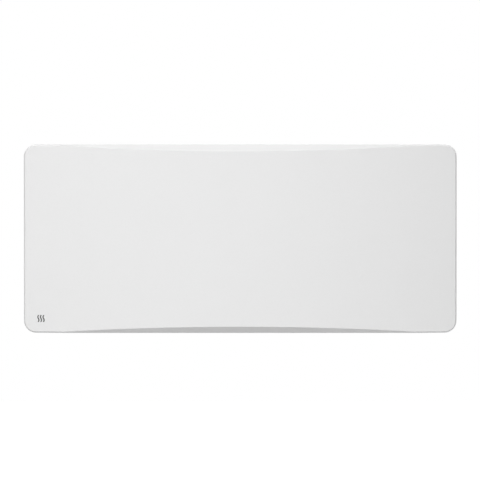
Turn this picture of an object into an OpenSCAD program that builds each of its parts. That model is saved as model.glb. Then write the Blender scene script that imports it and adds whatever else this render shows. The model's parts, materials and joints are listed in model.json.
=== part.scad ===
// Electric radiator with cast iron heating cores behind a bowed steel front.
// It hangs on a wall bracket and tilts forward on its two lower pins.
// Millimetres. Z is up, the wall is the plane y = 0 and the room lies towards -y.
// The origin is the middle of the four wall fixings.

/* [Front panel] */
// Width of the front panel
panel_w = 1035; // [1000:5:1100]
// Height of the front panel
panel_h = 450; // [430:5:520]
// Corner radius of the front panel
panel_r = 29; // [20:1:40]
// Radius of the bow of the face, seen from above
bow_r = 2200; // [2000:50:3000]
// Thickness of the panel's steel sheet
panel_t = 1.2; // [0.8:0.1:1.6]
// Depth of the sloping band round the face
band_d = 9.5; // [6:0.5:12]
// Fall of the band and of the long bevels for each mm of depth
bevel_k = 0.34; // [0.2:0.02:0.4]
// Half length of the long top and bottom bevels
bevel_half = 414; // [380:2:440]
// Straight skirt of the panel behind the band, at its ends
panel_skirt = 11.8; // [10:0.1:16]
// Side of the hexagonal posts that carry the panel, across flats
post_af = 9; // [7:1:12]
// Inset of the corner posts from the panel's ends
post_in_x = 37.5; // [34:0.5:44]
// Inset of the posts from the panel's top and bottom edges
post_in_z = 45; // [42:1:50]

/* [Heating film] */
// Width of the heating film along the bow
film_w = 860; // [700:10:900]
// Height of the heating film
film_h = 300; // [260:5:344]
// Thickness of the heating film
film_t = 0.6; // [0.4:0.1:1]

/* [Rear casing] */
// Gap between the wall and the rear casing
wall_gap = 18; // [17:0.5:24]
// Depth of the casing that shows behind the panel
vent_d = 26; // [25:1:34]
// Thickness of the casing's steel sheet
casing_t = 1; // [0.8:0.1:1.2]
// Depth that the casing reaches into the panel's skirt
casing_lap = 9.5; // [6:0.5:10]
// Clearance between pieces that fit into each other
fit = 0.3; // [0.2:0.05:0.4]
// Diameter of the panel screws
screw_d = 4; // [3:0.5:5]
// Width of each slot in the casing's back
louvre_w = 5; // [4:0.5:6]
// Length of each slot in the casing's back
louvre_h = 26; // [16:1:30]
// Diameter of the rubber wall buffers
buffer_d = 18; // [14:1:22]
// Height of the rubber wall buffers
buffer_t = 5; // [3:0.5:7]

/* [Grilles] */
// Length of the grille openings
grille_w = 730; // [700:10:830]
// Depth of the grille openings
grille_d = 20; // [16:0.5:20]
// Width of one grille slot
slot_w = 7; // [5:0.5:8]
// Spacing of the grille slots
slot_pitch = 12; // [11:0.5:16]
// Solid edge left around the grille slots
slot_margin = 2.5; // [2:0.25:4]
// Lip of each insert that lies under the casing's wall
lip = 3; // [2:0.5:4]

/* [Wall bracket] */
// Thickness of the bracket's steel sheet
bracket_t = 2; // [1.5:0.25:2.5]
// Spacing of the wall fixings along the wall
hole_dx = 400; // [360:5:420]
// Height spacing of the wall fixings
hole_dz = 220; // [200:5:230]
// Diameter of the wall fixing holes
hole_d = 7; // [5:0.5:9]
// Width of the bracket's uprights and bars
bar_w = 42; // [38:1:46]
// Distance of the tilt pins from the wall
pin_dist = 10; // [9.5:0.25:10]
// Depth of the tilt axis below the origin
hinge_drop = 150; // [145:1:156]
// Height of the catch pins above the origin
catch_rise = 120; // [110:1:125]
// Diameter of the tilt pins and catch pins
pin_d = 6; // [5:0.5:6]
// Running clearance of the tilt pins, on the radius
pin_fit = 0.1; // [0.05:0.01:0.1]
// Wall of the nylon saddles round the tilt pins
saddle_t = 1.5; // [1.2:0.1:1.6]
// Width of the nylon saddles along the pins
saddle_w = 8; // [6:0.5:9]
// Thickness of the ears that hold the pins
ear_t = 2; // [1.5:0.25:2.5]
// Thickness of the catch springs' strip
spring_t = 0.8; // [0.6:0.1:0.9]
// Width of the catch springs' strip
spring_w = 12; // [8:1:12]

/* [Cast iron cores] */
// Number of cast iron cores
core_n = 3; // [3:1:3]
// Width of one core
core_w = 230; // [220:1:250]
// Height of the cores
core_h = 280; // [250:2:284]
// Gap between two cores
core_gap = 19; // [14:1:19]
// Thickness of a core's plate
core_t = 7; // [6.5:0.5:10]
// Thickness of a core's fins
fin_t = 3.5; // [2.5:0.5:5]
// Depth of a core's fins
fin_d = 8; // [8:0.5:11]
// Spacing of a core's fins
fin_pitch = 20; // [16:1:24]
// Air space between the casing's back and the rear fins
core_air = 26; // [25:0.5:27]
// Thickness of the pads above and below the cores
pad_t = 4; // [3:0.5:6]
// Diameter of the cast locating pegs
peg_d = 5.4; // [4:0.2:7]

/* [Heating elements] */
// Diameter of the element tube
tube_d = 8; // [6.5:0.5:8.5]
// Spacing of the two legs of an element
leg_gap = 76; // [60:1:80]
// Length of the straight legs
leg_h = 182; // [150:2:190]
// Thickness of the clamp bars
clamp_t = 2; // [1.5:0.25:2.5]

/* [Rails and shield] */
// Thickness of the rails' steel sheet
rail_t = 1.5; // [1:0.25:2]
// Height of the rails' feet on the casing
rail_foot = 20; // [14:1:24]
// Gap between the casing's back and the heat shield
shield_gap = 19; // [15:0.5:19]
// Thickness of the heat shield
shield_t = 0.6; // [0.4:0.1:1]
// Diameter of the heat shield's spacers
spacer_d = 9; // [7:0.5:12]
// Thickness of the bulkhead beside the electronics
bulkhead_t = 1.2; // [0.8:0.1:2]

/* [Controls] */
// Inset of the controls' middle from the panel's right end
ctrl_in = 87.5; // [85.5:0.5:89.5]
// Length of the control opening
ctrl_w = 104; // [104:1:106]
// Wall of the control housing
ctrl_wall = 1.5; // [1.2:0.1:1.6]
// Height of the control housing
ctrl_h = 22; // [20:0.5:24]
// Length of the display window
window_w = 36; // [28:1:36]
// Depth of the display window
window_d = 12; // [8:0.5:13]
// Length of one key
key_w = 8; // [6:0.5:8]
// Depth of one key
key_d = 9; // [7:0.5:11]
// Spacing of the keys
key_pitch = 11.5; // [11.2:0.1:11.6]
// Height of the keys above the casing
key_rise = 1; // [0.9:0.1:1.4]
// Travel of the keys
key_travel = 0.8; // [0.5:0.1:0.9]
// Thickness of the circuit boards
board_t = 1.6; // [1:0.2:2]

/* [Power board and mains] */
// Width of the power board
power_w = 90; // [80:1:92]
// Height of the power board
power_h = 170; // [150:2:180]
// Gap between the casing's back and the power board
power_gap = 20; // [14:1:21]
// Recess of the service panel's floor
service_in = 3; // [2.6:0.2:4]
// Length of the mains switch cut-out
switch_w = 19; // [18.6:0.1:20]
// Depth of the mains switch cut-out
switch_d = 12.8; // [12.6:0.1:13.6]
// Tilt of the rocker each way
rocker_tilt = 10; // [6:1:10]
// Diameter of the cable gland's thread
gland_d = 14; // [12:0.5:16]
// Diameter of the bore for the mains lead
cable_d = 8; // [6:0.5:9]

/* [Hidden] */
$fn = 48;

// Cut past a face, so that no skin is left, and overlap of the joined bodies of one piece
over = 1;
weld = 0.5;
// Clearances on the radius of pins and screws that are fast in their holes, and of snug fits
press_fit = 0.05;
snug = 0.1;
// Steps of the bow between two neighbouring corner centres and in each corner
bow_steps = 30;
corner_steps = 8;
// Fineness of the film's long arc
film_fn = 720;

// Distances from the wall
floor_dist = wall_gap + casing_t;
rim_dist = wall_gap + vent_d;
casing_dist = rim_dist + casing_lap;
end_dist = rim_dist + panel_skirt + band_d;
mid_dist = end_dist + sag(panel_w / 2);
lip_d = 1;
insert_back = 1;
vent_mid = floor_dist + insert_back + lip_d + grille_d / 2;

// Casing, which fits inside the panel's skirt
casing_w = panel_w - 2 * (panel_t + fit);
casing_h = panel_h - 2 * (panel_t + fit);
casing_r = panel_r - panel_t - fit;
casing_top = casing_h / 2;

// Panel posts, in three columns
post_x = panel_w / 2 - post_in_x;
post_z = panel_h / 2 - post_in_z;
post_spots = [for (x = [-post_x, 0, post_x], z = [-post_z, post_z]) [x, z]];
post_screw_in = 12;
screw_head_t = 2.4;
buffer_x = post_x - 4 * buffer_d;

// Bracket and its tilt pins
bracket_w = hole_dx + bar_w;
bracket_top = catch_rise + bar_w / 2;
bracket_low = hinge_drop + bar_w / 2;
hinge_x = bracket_w / 2 - bracket_t / 2;
hook_gap = 0.8;
hook_r = wall_gap - pin_dist - hook_gap;
catch_in = 1;
catch_x = bracket_w / 2 - spring_w / 2 - catch_in;
rivet_d = 5;
rivet_h = 1.2;
ear_wall = 3;
ear_r = pin_d / 2 + ear_wall;
ear_gap = 0.6;
ear_foot = 16;
saddle_r = pin_d / 2 + pin_fit + saddle_t;
saddle_groove = 0.6;
pin_over = 2;

// Cores, their rails and the shield
core_span = core_n * core_w + (core_n - 1) * core_gap;
ctrl_x = panel_w / 2 - ctrl_in;
bulkhead_gap = 13;
bulkhead_x = ctrl_x - ctrl_w / 2 - lip - bulkhead_gap;
core_end_gap = 12;
core_right_x = bulkhead_x - core_end_gap;
core_back = floor_dist + core_air;
plate_back = core_back + fin_d;
plate_front = plate_back + core_t;
core_front = plate_front + fin_d;
core_mid_x = core_right_x - core_span / 2;
peg_in = 40;
peg_over = 2;
peg_x = core_w / 2 - peg_in;
peg_l = pad_t + rail_t + peg_over;
peg_dist = plate_back + core_t / 2;
rail_over = 6;
rail_x0 = core_right_x - core_span - rail_over;
rail_w = core_span + 2 * rail_over;
shield_dist = floor_dist + shield_gap;

// Elements, half sunk in the back of the plates
tube_out = 1;
leg_in = 30;
tube_dist = plate_back - tube_out;
leg_low = -core_h / 2 + leg_in;
leg_top = leg_low + leg_h;
clamp_rise = [-50, 40];
clamp_over = 12;
clamp_w = leg_gap + 2 * clamp_over;
clamp_h = 14;
clamp_screw_d = 5;
clamp_back = tube_dist - tube_d / 2 - snug;
screw_floor = 2;
terminal_l = 12;
terminal_d = 4;
seal_d = 11;
seal_l = 10;
lead_d = 2.2;
lead_pitch = lead_d + 2 * snug;
lead_dist = (shield_dist + shield_t + core_back) / 2;
lead_in = 2;
lead_turn = 3;
lead_out = leg_low - terminal_l - lead_in;
lead_top = lead_out - lead_turn;
lead_fn = 24;
elbow_k = 1.06;
lead_z = lead_top - (core_n - 0.5) * lead_pitch;
grommet_d = 20;

// Inserts in the casing's top and bottom walls
insert_gap = 22;
grille_x = ctrl_x - ctrl_w / 2 - insert_gap - 2 * lip - grille_w / 2;
insert_t = 1.5;
insert_top = casing_top;
insert_shelf = casing_top - casing_t - fit;
insert_d = grille_d - 2 * fit;

// Control housing, from its top plate down
plate_t = 2;
ctrl_under = insert_top - plate_t;
ctrl_low = insert_shelf - ctrl_h;
ctrl_body_w = ctrl_w + 2 * lip;
board_drop = 8;
board_top = ctrl_under - board_drop;
socket_h = 5;
board_d = insert_d - 2 * ctrl_wall - 2 * fit;
ledge_w = 2.2;
flange_t = 1.3;
flange_over = 1;
window_in = 3;
window_x = ctrl_x - ctrl_w / 2 + window_in + window_w / 2;
window_lip = 1.5;
window_flange_t = 0.8;
window_sink = 0.2;
lcd_top = ctrl_under - window_flange_t - fit;
light_d = 3;
light_gap = 2;
light_x = window_x + window_w / 2 + window_lip + light_gap + light_d / 2;
key_x0 = ctrl_x;
tact_w = 6;
tact_h = 3.5;
plunger_d = 3.4;
key_foot_d = 4;
key_foot = 0.7;
key_r = 1.5;
key_low = ctrl_under - fit - flange_t - key_foot;
plunger_top = key_low - key_travel - snug;

// Service panel, with its floor above the opening in the bottom wall
service_z = -insert_top + service_in;
service_floor_t = 2;
service_h = 16;
switch_off = 26;
probe_off = 24;
switch_x = ctrl_x + switch_off;
probe_x = ctrl_x - probe_off;
probe_slots = 7;
probe_pitch = 4;
bezel_over = 0.75;
bezel_t = 1.5;
probe_margin = 2.5;
switch_wall = 1.1;
switch_h = 16;
switch_floor = 2;
tab = [0.8, 4.8];
tab_l = 6;
tab_pitch = 6;
rocker_room = 0.2;
rocker_swing = 1.2;
rocker_wall = 0.95;
rocker_w = switch_w - 2 * switch_wall - 4 * rocker_room - rocker_swing;
rocker_d = switch_d - 2 * rocker_wall - 2 * rocker_room;
stub_d = 2;
stub_l = 0.6;
stub_fit = 0.05;
rocker_drop = 5;
rocker_z = service_z - bezel_t + rocker_drop;

// Power board and what is beside it
power_off = 2;
power_x = ctrl_x + power_off;
power_z = 20;
power_dist = floor_dist + power_gap;
board_front = power_dist + board_t;
relay_w = 20;
relay_h = 16;
relay_d = 15;
relay_gap = 8;
trafo_w = 24;
trafo_h = 20;
cap_d = 12;
cap_in = 16;
cap_gap = 2;
cap_step = 10;
regulator = [18, 14, 9];
board_spacer_d = 6;
board_spot = 6;
spacer_fit = 0.2;
block_off = 20;
block_rise = 15;
block_x = ctrl_x - block_off;
block_z = -post_z + block_rise;
block_h = 22;
block_d = 16;
block_low = 6;
pole_pitch = 10;
pole_d = 5;
pole_floor = 10;
block_edge = 2;
wire_hole = [6, 8, 4];
mains_d = 4;
gland_off = 22;
gland_rise = 15;
gland_rim = 3;
gland_x = ctrl_x + gland_off;
gland_z = -post_z + gland_rise;
gland_flange = gland_d + 2 * gland_rim;
gland_flange_t = 3;
gland_nose = 9;
gland_taper = 2.5;
thread_l = 10;
nut_t = 4;
nut_wall = 2.5;
stud_off = 42;
stud_drop = 6;
stud_x = ctrl_x - stud_off;
stud_z = -post_z - stud_drop;
stud_d = 5;
join_pitch = 6;
join_h = 12;
join_d = 10;
join_in = 4;
join_rise = 14;
join_x = power_x - power_w / 2 + 2 * board_spot + join_in;
join_z = power_z - power_h / 2 + join_rise;
ribbon_t = 1;
ribbon_w = 12;
header_w = 14;
header_h = 8;
ribbon_tuck = 15;
ribbon_low = power_z + power_h / 2 - ribbon_tuck;

// Fall of the bow at x, seen from above
function sag(x) = bow_r - sqrt(bow_r * bow_r - x * x);
// y of the face at x, for a skin that lies s inside the outer one
function face_y(x, s = 0) = bow_r - mid_dist - sqrt((bow_r - s) * (bow_r - s) - x * x);
// Middle of core number i, from the left
function core_x(i) = core_right_x - core_span + core_w / 2 + i * (core_w + core_gap);

// The panel's outline, as columns of one corner centre or straight place and one angle from upright
column_x = panel_w / 2 - panel_r;
column_z = panel_h / 2 - panel_r;
side_steps = 3;
side_run = column_x - bevel_half;
columns = concat(
    [for (i = [0:corner_steps - 1]) [-column_x, -90 + 90 * i / corner_steps]],
    [for (i = [0:side_steps - 1]) [-column_x + side_run * i / side_steps, 0]],
    [for (i = [0:bow_steps - 1]) [-bevel_half + 2 * bevel_half * i / bow_steps, 0]],
    [for (i = [0:side_steps - 1]) [bevel_half + side_run * i / side_steps, 0]],
    [for (i = [0:corner_steps]) [column_x, 90 * i / corner_steps]]);
bevel_y = face_y(bevel_half) + band_d;
function column_at(c, r) = c[0] + r * sin(c[1]);
function edge_y(c) = max(bevel_y, face_y(column_at(c, panel_r)) + band_d);
function edge_in(c, s) = bevel_k * (edge_y(c) - face_y(column_at(c, panel_r - s), s));
// A point of the skin that lies s inside, at its rim (0), its edge (1) or its face (2)
function skin_point(c, s, stage, side) =
    let (r = panel_r - s - (stage == 2 ? edge_in(c, s) : 0), x = column_at(c, r))
    [x, stage == 0 ? -rim_dist : stage == 1 ? edge_y(c) : face_y(x, s),
        side * (column_z + r * cos(c[1]))];
function skin_ring(s, stage) = let (n = len(columns)) concat(
    [for (i = [0:n - 1]) skin_point(columns[i], s, stage, 1)],
    [for (i = [n - 1:-1:0]) skin_point(columns[i], s, stage, -1)]);
// Triangles between ring a and ring b of n points each
function band(a, b, n) = [for (i = [0:n - 1], t = [0, 1]) let (j = (i + 1) % n)
    t == 0 ? [a * n + i, a * n + j, b * n + j] : [a * n + i, b * n + j, b * n + i]];
// The face itself, between the upper and the lower point of each column
function face_strips(a, n, flip) = [for (i = [0:n / 2 - 2])
    let (q = [a * n + i, a * n + i + 1, a * n + n - 2 - i, a * n + n - 1 - i])
    flip ? [q[3], q[2], q[1], q[0]] : q];

// An outline in x and z, made solid between two distances from the wall
module slab(d0, d1) {
    translate([0, -d0, 0]) rotate([90, 0, 0]) linear_extrude(d1 - d0) children();
}

// A rectangle with round corners about the origin
module rounded(w, h, r) {
    square([w, h - 2 * r], center = true);
    square([w - 2 * r, h], center = true);
    for (x = [-1, 1], y = [-1, 1])
        translate([x * (w / 2 - r), y * (h / 2 - r)]) circle(r);
}

// A slot with round ends along y
module slot(w, h) {
    square([w, h - w], center = true);
    for (y = [-1, 1]) translate([0, y * (h - w) / 2]) circle(d = w);
}

// A rod between two distances from the wall
module rod(x, z, d0, d1, d) {
    slab(d0, d1) translate([x, z]) circle(d = d);
}

// A box between two distances from the wall
module block(x, z, w, h, d0, d1) {
    slab(d0, d1) translate([x, z]) square([w, h], center = true);
}

// A level piece at x, on the middle line of the inserts, between two heights
module level(x, z0, z1) {
    translate([x, -vent_mid, z0]) linear_extrude(z1 - z0) children();
}

// Mirrors the top of the radiator to its bottom
module flip_z(on) {
    if (on) mirror([0, 0, 1]) children();
    else children();
}

// A hook that holds one tilt pin from below, seen along the pin
module hook_outline() {
    foot_in = 8;
    under = 50;
    low = -bracket_low + foot_in;
    translate([-pin_dist, -hinge_drop]) circle(hook_r);
    polygon([[0, low], [-bracket_t, low],
        [-pin_dist - hook_r * cos(under), -hinge_drop - hook_r * sin(under)],
        [-pin_dist, -hinge_drop], [-bracket_t, -hinge_drop + hook_r], [0, -hinge_drop + hook_r]]);
}

module wall_bracket() color("gainsboro") {
    mid_z = (bracket_top - bracket_low) / 2;
    frame_h = bracket_top + bracket_low;
    frame_r = 6;
    window_r = 10;
    slot_n = 7;
    slot_spacing = 46;
    slot_size = [8, 22];
    difference() {
        union() {
            slab(0, bracket_t) difference() {
                translate([0, mid_z]) rounded(bracket_w, frame_h, frame_r);
                translate([0, mid_z]) rounded(bracket_w - 2 * bar_w, frame_h - 2 * bar_w, window_r);
                for (x = [-1, 1], z = [-1, 1])
                    translate([x * hole_dx / 2, z * hole_dz / 2]) circle(d = hole_d);
                for (i = [0:slot_n - 1])
                    translate([(i - (slot_n - 1) / 2) * slot_spacing, bracket_top - bar_w / 2])
                        slot(slot_size[0], slot_size[1]);
            }
            for (x = [-1, 1]) translate([x * hinge_x - bracket_t / 2, 0, 0])
                rotate([90, 0, 90]) linear_extrude(bracket_t) hook_outline();
        }
        for (x = [-1, 1]) translate([x * hinge_x, -pin_dist, -hinge_drop]) rotate([0, 90, 0])
            cylinder(r = saddle_r - saddle_groove + fit / 2, h = bracket_t + 2 * over, center = true);
        for (x = [-1, 1]) translate([x * hinge_x, -pin_dist, -hinge_drop + hook_r])
            cube([bracket_t + 2 * over, 2 * (saddle_r - saddle_groove) + fit, 2 * hook_r], center = true);
    }
}

module saddle_outline(r) {
    circle(r);
    translate([0, hook_r / 2]) square([2 * r, hook_r], center = true);
}

module hinge_saddles() color("dimgray") {
    for (x = [-1, 1]) translate([x * hinge_x, -pin_dist, -hinge_drop]) rotate([90, 0, 90]) {
        difference() {
            linear_extrude(saddle_w, center = true) intersection() {
                saddle_outline(saddle_r);
                circle(hook_r);
            }
            linear_extrude(saddle_w + over, center = true) saddle_outline(pin_d / 2 + pin_fit);
            linear_extrude(bracket_t + snug, center = true) difference() {
                circle(hook_r + over);
                saddle_outline(saddle_r - saddle_groove);
            }
        }
    }
}

module spring_outline() {
    r = pin_d / 2 + pin_fit;
    mouth = 50;
    difference() {
        circle(r + spring_t);
        circle(r);
        polygon([[0, 0], [-3 * r * cos(mouth), 3 * r * sin(mouth)],
            [-3 * r * cos(mouth), -3 * r * sin(mouth)]]);
    }
    // Lips that guide the pin in
    root = mouth + 8;
    lip_l = 2.2;
    lip_rise = 0.9;
    lip_t = 0.7;
    stem_h = 2;
    foot_in = 6;
    for (s = [-1, 1]) polygon([
        [-r * cos(root), s * (r * sin(root) + snug)],
        [-r * cos(mouth), s * r * sin(mouth)],
        [-r - lip_l, s * (r + lip_rise)],
        [-r - lip_l, s * (r + lip_rise + lip_t)],
        [-(r + spring_t) * cos(root), s * ((r + spring_t) * sin(root) - snug)]]);
    translate([r + spring_t / 2, -stem_h / 2])
        square([pin_dist - bracket_t - r - spring_t / 2, stem_h]);
    translate([pin_dist - bracket_t - spring_t, -bar_w / 2 + foot_in])
        square([spring_t, bar_w - 2 * foot_in]);
}

module catch_springs() color("silver") {
    for (x = [-1, 1]) translate([x * catch_x, -pin_dist, catch_rise])
        rotate([90, 0, 90]) linear_extrude(spring_w, center = true) spring_outline();
}

module catch_rivets() color("gray") {
    for (x = [-1, 1], z = [-1, 1])
        rod(x * catch_x, catch_rise + z * (bar_w / 2 - 2 * rivet_d), bracket_t + spring_t,
            bracket_t + spring_t + rivet_h, rivet_d);
}

// Two pins on one line, each as long as the ears beside the piece that it passes through
module pins(x, z, held_w) {
    for (s = [-1, 1]) translate([s * x, -pin_dist, z]) rotate([0, 90, 0])
        cylinder(d = pin_d, h = held_w + 2 * (ear_gap + ear_t + pin_over), center = true);
}

module hinge_pins() color("silver") pins(hinge_x, -hinge_drop, saddle_w);

module catch_pins() color("silver") pins(catch_x, catch_rise, spring_w);

// An ear that carries one end of a pin, with its foot on the casing
module pin_ear(x, z, away, held_w) {
    hold = held_w / 2 + ear_gap;
    translate([x, 0, z]) mirror([away < 0 ? 1 : 0, 0, 0]) difference() {
        union() {
            translate([hold, -pin_dist, 0]) rotate([90, 0, 90]) linear_extrude(ear_t) {
                circle(ear_r);
                translate([-wall_gap + pin_dist, -ear_r]) square([wall_gap - pin_dist, 2 * ear_r]);
            }
            translate([hold, -wall_gap, -ear_r]) cube([ear_foot, ear_t, 2 * ear_r]);
        }
        translate([hold - over, -pin_dist, 0]) rotate([0, 90, 0])
            cylinder(r = pin_d / 2 + press_fit, h = ear_t + 2 * over);
    }
}

module pin_ears() color("silver") {
    for (s = [-1, 1], away = [-1, 1]) {
        pin_ear(s * hinge_x, -hinge_drop, away, saddle_w);
        pin_ear(s * catch_x, catch_rise, away, spring_w);
    }
}

// Opening in the casing's top wall at x
module wall_opening(x, w, d = grille_d) {
    level(x, casing_top - casing_t - over, casing_top + over) square([w, d], center = true);
}

module back_casing() color("whitesmoke") {
    louvre_n = 12;
    louvre_z = casing_top - 2 * louvre_h;
    difference() {
        slab(wall_gap, casing_dist) rounded(casing_w, casing_h, casing_r);
        slab(floor_dist, casing_dist + over)
            rounded(casing_w - 2 * casing_t, casing_h - 2 * casing_t, casing_r - casing_t);
        wall_opening(grille_x, grille_w);
        wall_opening(ctrl_x, ctrl_w);
        flip_z(true) wall_opening(grille_x, grille_w);
        flip_z(true) wall_opening(ctrl_x, ctrl_w);
        slab(wall_gap - over, floor_dist + over) {
            for (i = [0:louvre_n - 1], z = [-1, 1])
                translate([core_mid_x + (i - (louvre_n - 1) / 2) * core_span / louvre_n, z * louvre_z])
                    slot(louvre_w, louvre_h);
            for (p = post_spots) translate(p) circle(d = screw_d + 2 * fit);
            translate([gland_x, gland_z]) circle(d = gland_d + 2 * fit);
            translate([stud_x, stud_z]) circle(d = stud_d + 2 * fit);
        }
    }
}

module wall_buffers() color("dimgray") {
    for (x = [-1, 1], z = [-1, 1])
        rod(x * buffer_x, z * post_z, wall_gap - buffer_t, wall_gap, buffer_d);
}

module front_panel() color("white") {
    n = 2 * len(columns);
    polyhedron(
        points = concat(skin_ring(0, 0), skin_ring(0, 1), skin_ring(0, 2),
            skin_ring(panel_t, 2), skin_ring(panel_t, 1), skin_ring(panel_t, 0)),
        faces = concat(band(0, 1, n), band(1, 2, n), face_strips(2, n, false),
            face_strips(3, n, true), band(3, 4, n), band(4, 5, n), band(5, 0, n)));
}

module panel_posts() color("silver") {
    for (p = post_spots) {
        front = -face_y(abs(p[0]) + post_af / 2, panel_t) - fit;
        difference() {
            slab(floor_dist, front) translate(p) circle(d = post_af / cos(30), $fn = 6);
            rod(p[0], p[1], floor_dist - over, floor_dist + post_screw_in, screw_d + 2 * press_fit);
        }
    }
}

module panel_screws() color("silver") {
    head_back = wall_gap - screw_head_t;
    cross_w = 1.1;
    cross_l = 5;
    for (p = post_spots) {
        rod(p[0], p[1], wall_gap, floor_dist + post_screw_in - 1, screw_d);
        difference() {
            rod(p[0], p[1], head_back, wall_gap, 2 * screw_d);
            block(p[0], p[1], cross_w, cross_l, head_back - over, head_back + cross_w);
            block(p[0], p[1], cross_l, cross_w, head_back - over, head_back + cross_w);
        }
    }
}

module front_film() color("goldenrod") {
    half_turn = film_w / 2 / bow_r * 180 / PI;
    translate([0, bow_r - mid_dist, 0]) rotate([0, 0, -90 - half_turn])
        rotate_extrude(angle = 2 * half_turn, $fn = film_fn)
            translate([bow_r - panel_t - fit - film_t, -film_h / 2]) square([film_t, film_h]);
}

// The line of an element's tube, at radius r
module hairpin(x, r) {
    for (s = [-1, 1]) translate([x + s * leg_gap / 2, -tube_dist, leg_low]) cylinder(r = r, h = leg_h);
    translate([x, -tube_dist, leg_top]) rotate([90, 0, 0])
        rotate_extrude(angle = 180) translate([leg_gap / 2, 0]) circle(r);
}

module core(i) color("dimgray") {
    x = core_x(i);
    n = floor((core_w / 2 - fin_t) / fin_pitch);
    fin_in = 6;
    fin_h = core_h - 2 * fin_in;
    rim_r = 6;
    boss_d = 14;
    difference() {
        union() {
            slab(plate_back, plate_front) translate([x, 0]) rounded(core_w, core_h, rim_r);
            for (k = [-n:n]) block(x + k * fin_pitch, 0, fin_t, fin_h, plate_front - weld, core_front);
            for (k = [-n:n]) if (abs(k * fin_pitch) > clamp_w / 2 + fin_t)
                block(x + k * fin_pitch, 0, fin_t, fin_h, core_back, plate_back + weld);
            for (z = clamp_rise) rod(x, z, clamp_back, plate_back + weld, boss_d);
            for (s = [-1, 1], z = [-1, 1])
                translate([x + s * peg_x, -peg_dist, z * (core_h / 2 + (peg_l - over) / 2)])
                    cylinder(d = peg_d, h = peg_l + over, center = true);
        }
        hairpin(x, tube_d / 2 + fit);
        for (s = [-1, 1]) translate([x + s * leg_gap / 2, -tube_dist, -core_h / 2 - over])
            cylinder(d = seal_d + 2 * fit, h = leg_low + core_h / 2 + over);
        for (z = clamp_rise)
            rod(x, z, clamp_back - over, plate_front - screw_floor, clamp_screw_d + 2 * press_fit);
    }
}

module core_left() core(0);
module core_middle() core(1);
module core_right() core(2);

module element(i) color("darkgray") {
    x = core_x(i);
    hairpin(x, tube_d / 2);
    for (s = [-1, 1]) translate([x + s * leg_gap / 2, -tube_dist, leg_low - terminal_l])
        cylinder(d = terminal_d, h = terminal_l + 1);
}

module element_left() element(0);
module element_middle() element(1);
module element_right() element(2);

module element_clamps() color("silver") {
    for (i = [0:core_n - 1], z = clamp_rise) slab(clamp_back - clamp_t, clamp_back) difference() {
        translate([core_x(i), z]) rounded(clamp_w, clamp_h, clamp_h / 4);
        translate([core_x(i), z]) circle(d = clamp_screw_d + 2 * fit);
    }
}

module clamp_screws() color("gray") {
    seat = clamp_back - clamp_t;
    head_t = 3;
    for (i = [0:core_n - 1], z = clamp_rise) {
        rod(core_x(i), z, seat - weld, plate_front - screw_floor - fit, clamp_screw_d);
        slab(seat - head_t, seat) translate([core_x(i), z]) circle(d = 1.8 * clamp_screw_d, $fn = 6);
    }
}

module terminal_seals() color("firebrick") {
    taper = 3;
    for (i = [0:core_n - 1], s = [-1, 1])
        translate([core_x(i) + s * leg_gap / 2, -tube_dist, leg_low - seal_l]) difference() {
            cylinder(d1 = seal_d - taper, d2 = seal_d, h = seal_l);
            translate([0, 0, -over]) cylinder(d = terminal_d + 2 * snug, h = seal_l + 2 * over);
        }
}

// A rail above the cores, with its foot on the casing's back
module rail() {
    z = core_h / 2 + pad_t;
    vent_n = 4;
    vent_pitch = 34;
    vent_w = 20;
    vent_in = 5;
    front = core_front + 1;
    difference() {
        union() {
            translate([rail_x0, -front, z]) cube([rail_w, front - floor_dist, rail_t]);
            translate([rail_x0, -floor_dist - rail_t, z - rail_foot]) cube([rail_w, rail_t, rail_foot]);
        }
        for (i = [0:core_n - 1]) {
            for (s = [-1, 1]) translate([core_x(i) + s * peg_x, -peg_dist, z - over])
                cylinder(d = peg_d + 2 * fit, h = rail_t + 2 * over);
            for (k = [0:vent_n - 1])
                translate([core_x(i) + (k - (vent_n - 1) / 2) * vent_pitch, 0, z - over])
                    linear_extrude(rail_t + 2 * over) translate([0, -(floor_dist + core_front) / 2])
                        slot(vent_w, core_front - floor_dist - 2 * vent_in);
        }
    }
}

module upper_rail() color("lightgray") rail();
module lower_rail() color("lightgray") flip_z(true) rail();

module core_pads() color("firebrick") {
    pad_w = 26;
    pad_over = 4;
    for (i = [0:core_n - 1], s = [-1, 1], z = [0, 1]) flip_z(z == 1)
        translate([core_x(i) + s * peg_x, -peg_dist, core_h / 2]) linear_extrude(pad_t) difference() {
            square([pad_w, core_t + 2 * pad_over], center = true);
            circle(d = peg_d + 2 * fit);
        }
}

shield_in = 30;
shield_screw_l = 9;
shield_head_t = 2;
shield_spots = [for (x = [-core_span / 2 + shield_in, -core_w / 2 - core_gap / 2,
    core_w / 2 + core_gap / 2, core_span / 2 - shield_in], z = [-1, 1])
    [core_mid_x + x, z * (core_h / 2 - shield_in)]];

module heat_shield() color("silver") {
    end_in = 3;
    shield_r = 8;
    slab(shield_dist, shield_dist + shield_t) difference() {
        translate([core_mid_x, 0]) rounded(core_span, core_h - 2 * end_in, shield_r);
        for (p = shield_spots) translate(p) circle(d = screw_d + fit);
    }
}

module shield_spacers() color("tan") {
    for (p = shield_spots) difference() {
        rod(p[0], p[1], floor_dist, shield_dist, spacer_d);
        rod(p[0], p[1], shield_dist - shield_screw_l - 1, shield_dist + over, screw_d + 2 * press_fit);
    }
}

module shield_screws() color("gray") {
    for (p = shield_spots) {
        rod(p[0], p[1], shield_dist - shield_screw_l, shield_dist + shield_t + weld, screw_d);
        rod(p[0], p[1], shield_dist + shield_t, shield_dist + shield_t + shield_head_t, 2 * screw_d);
    }
}

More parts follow.
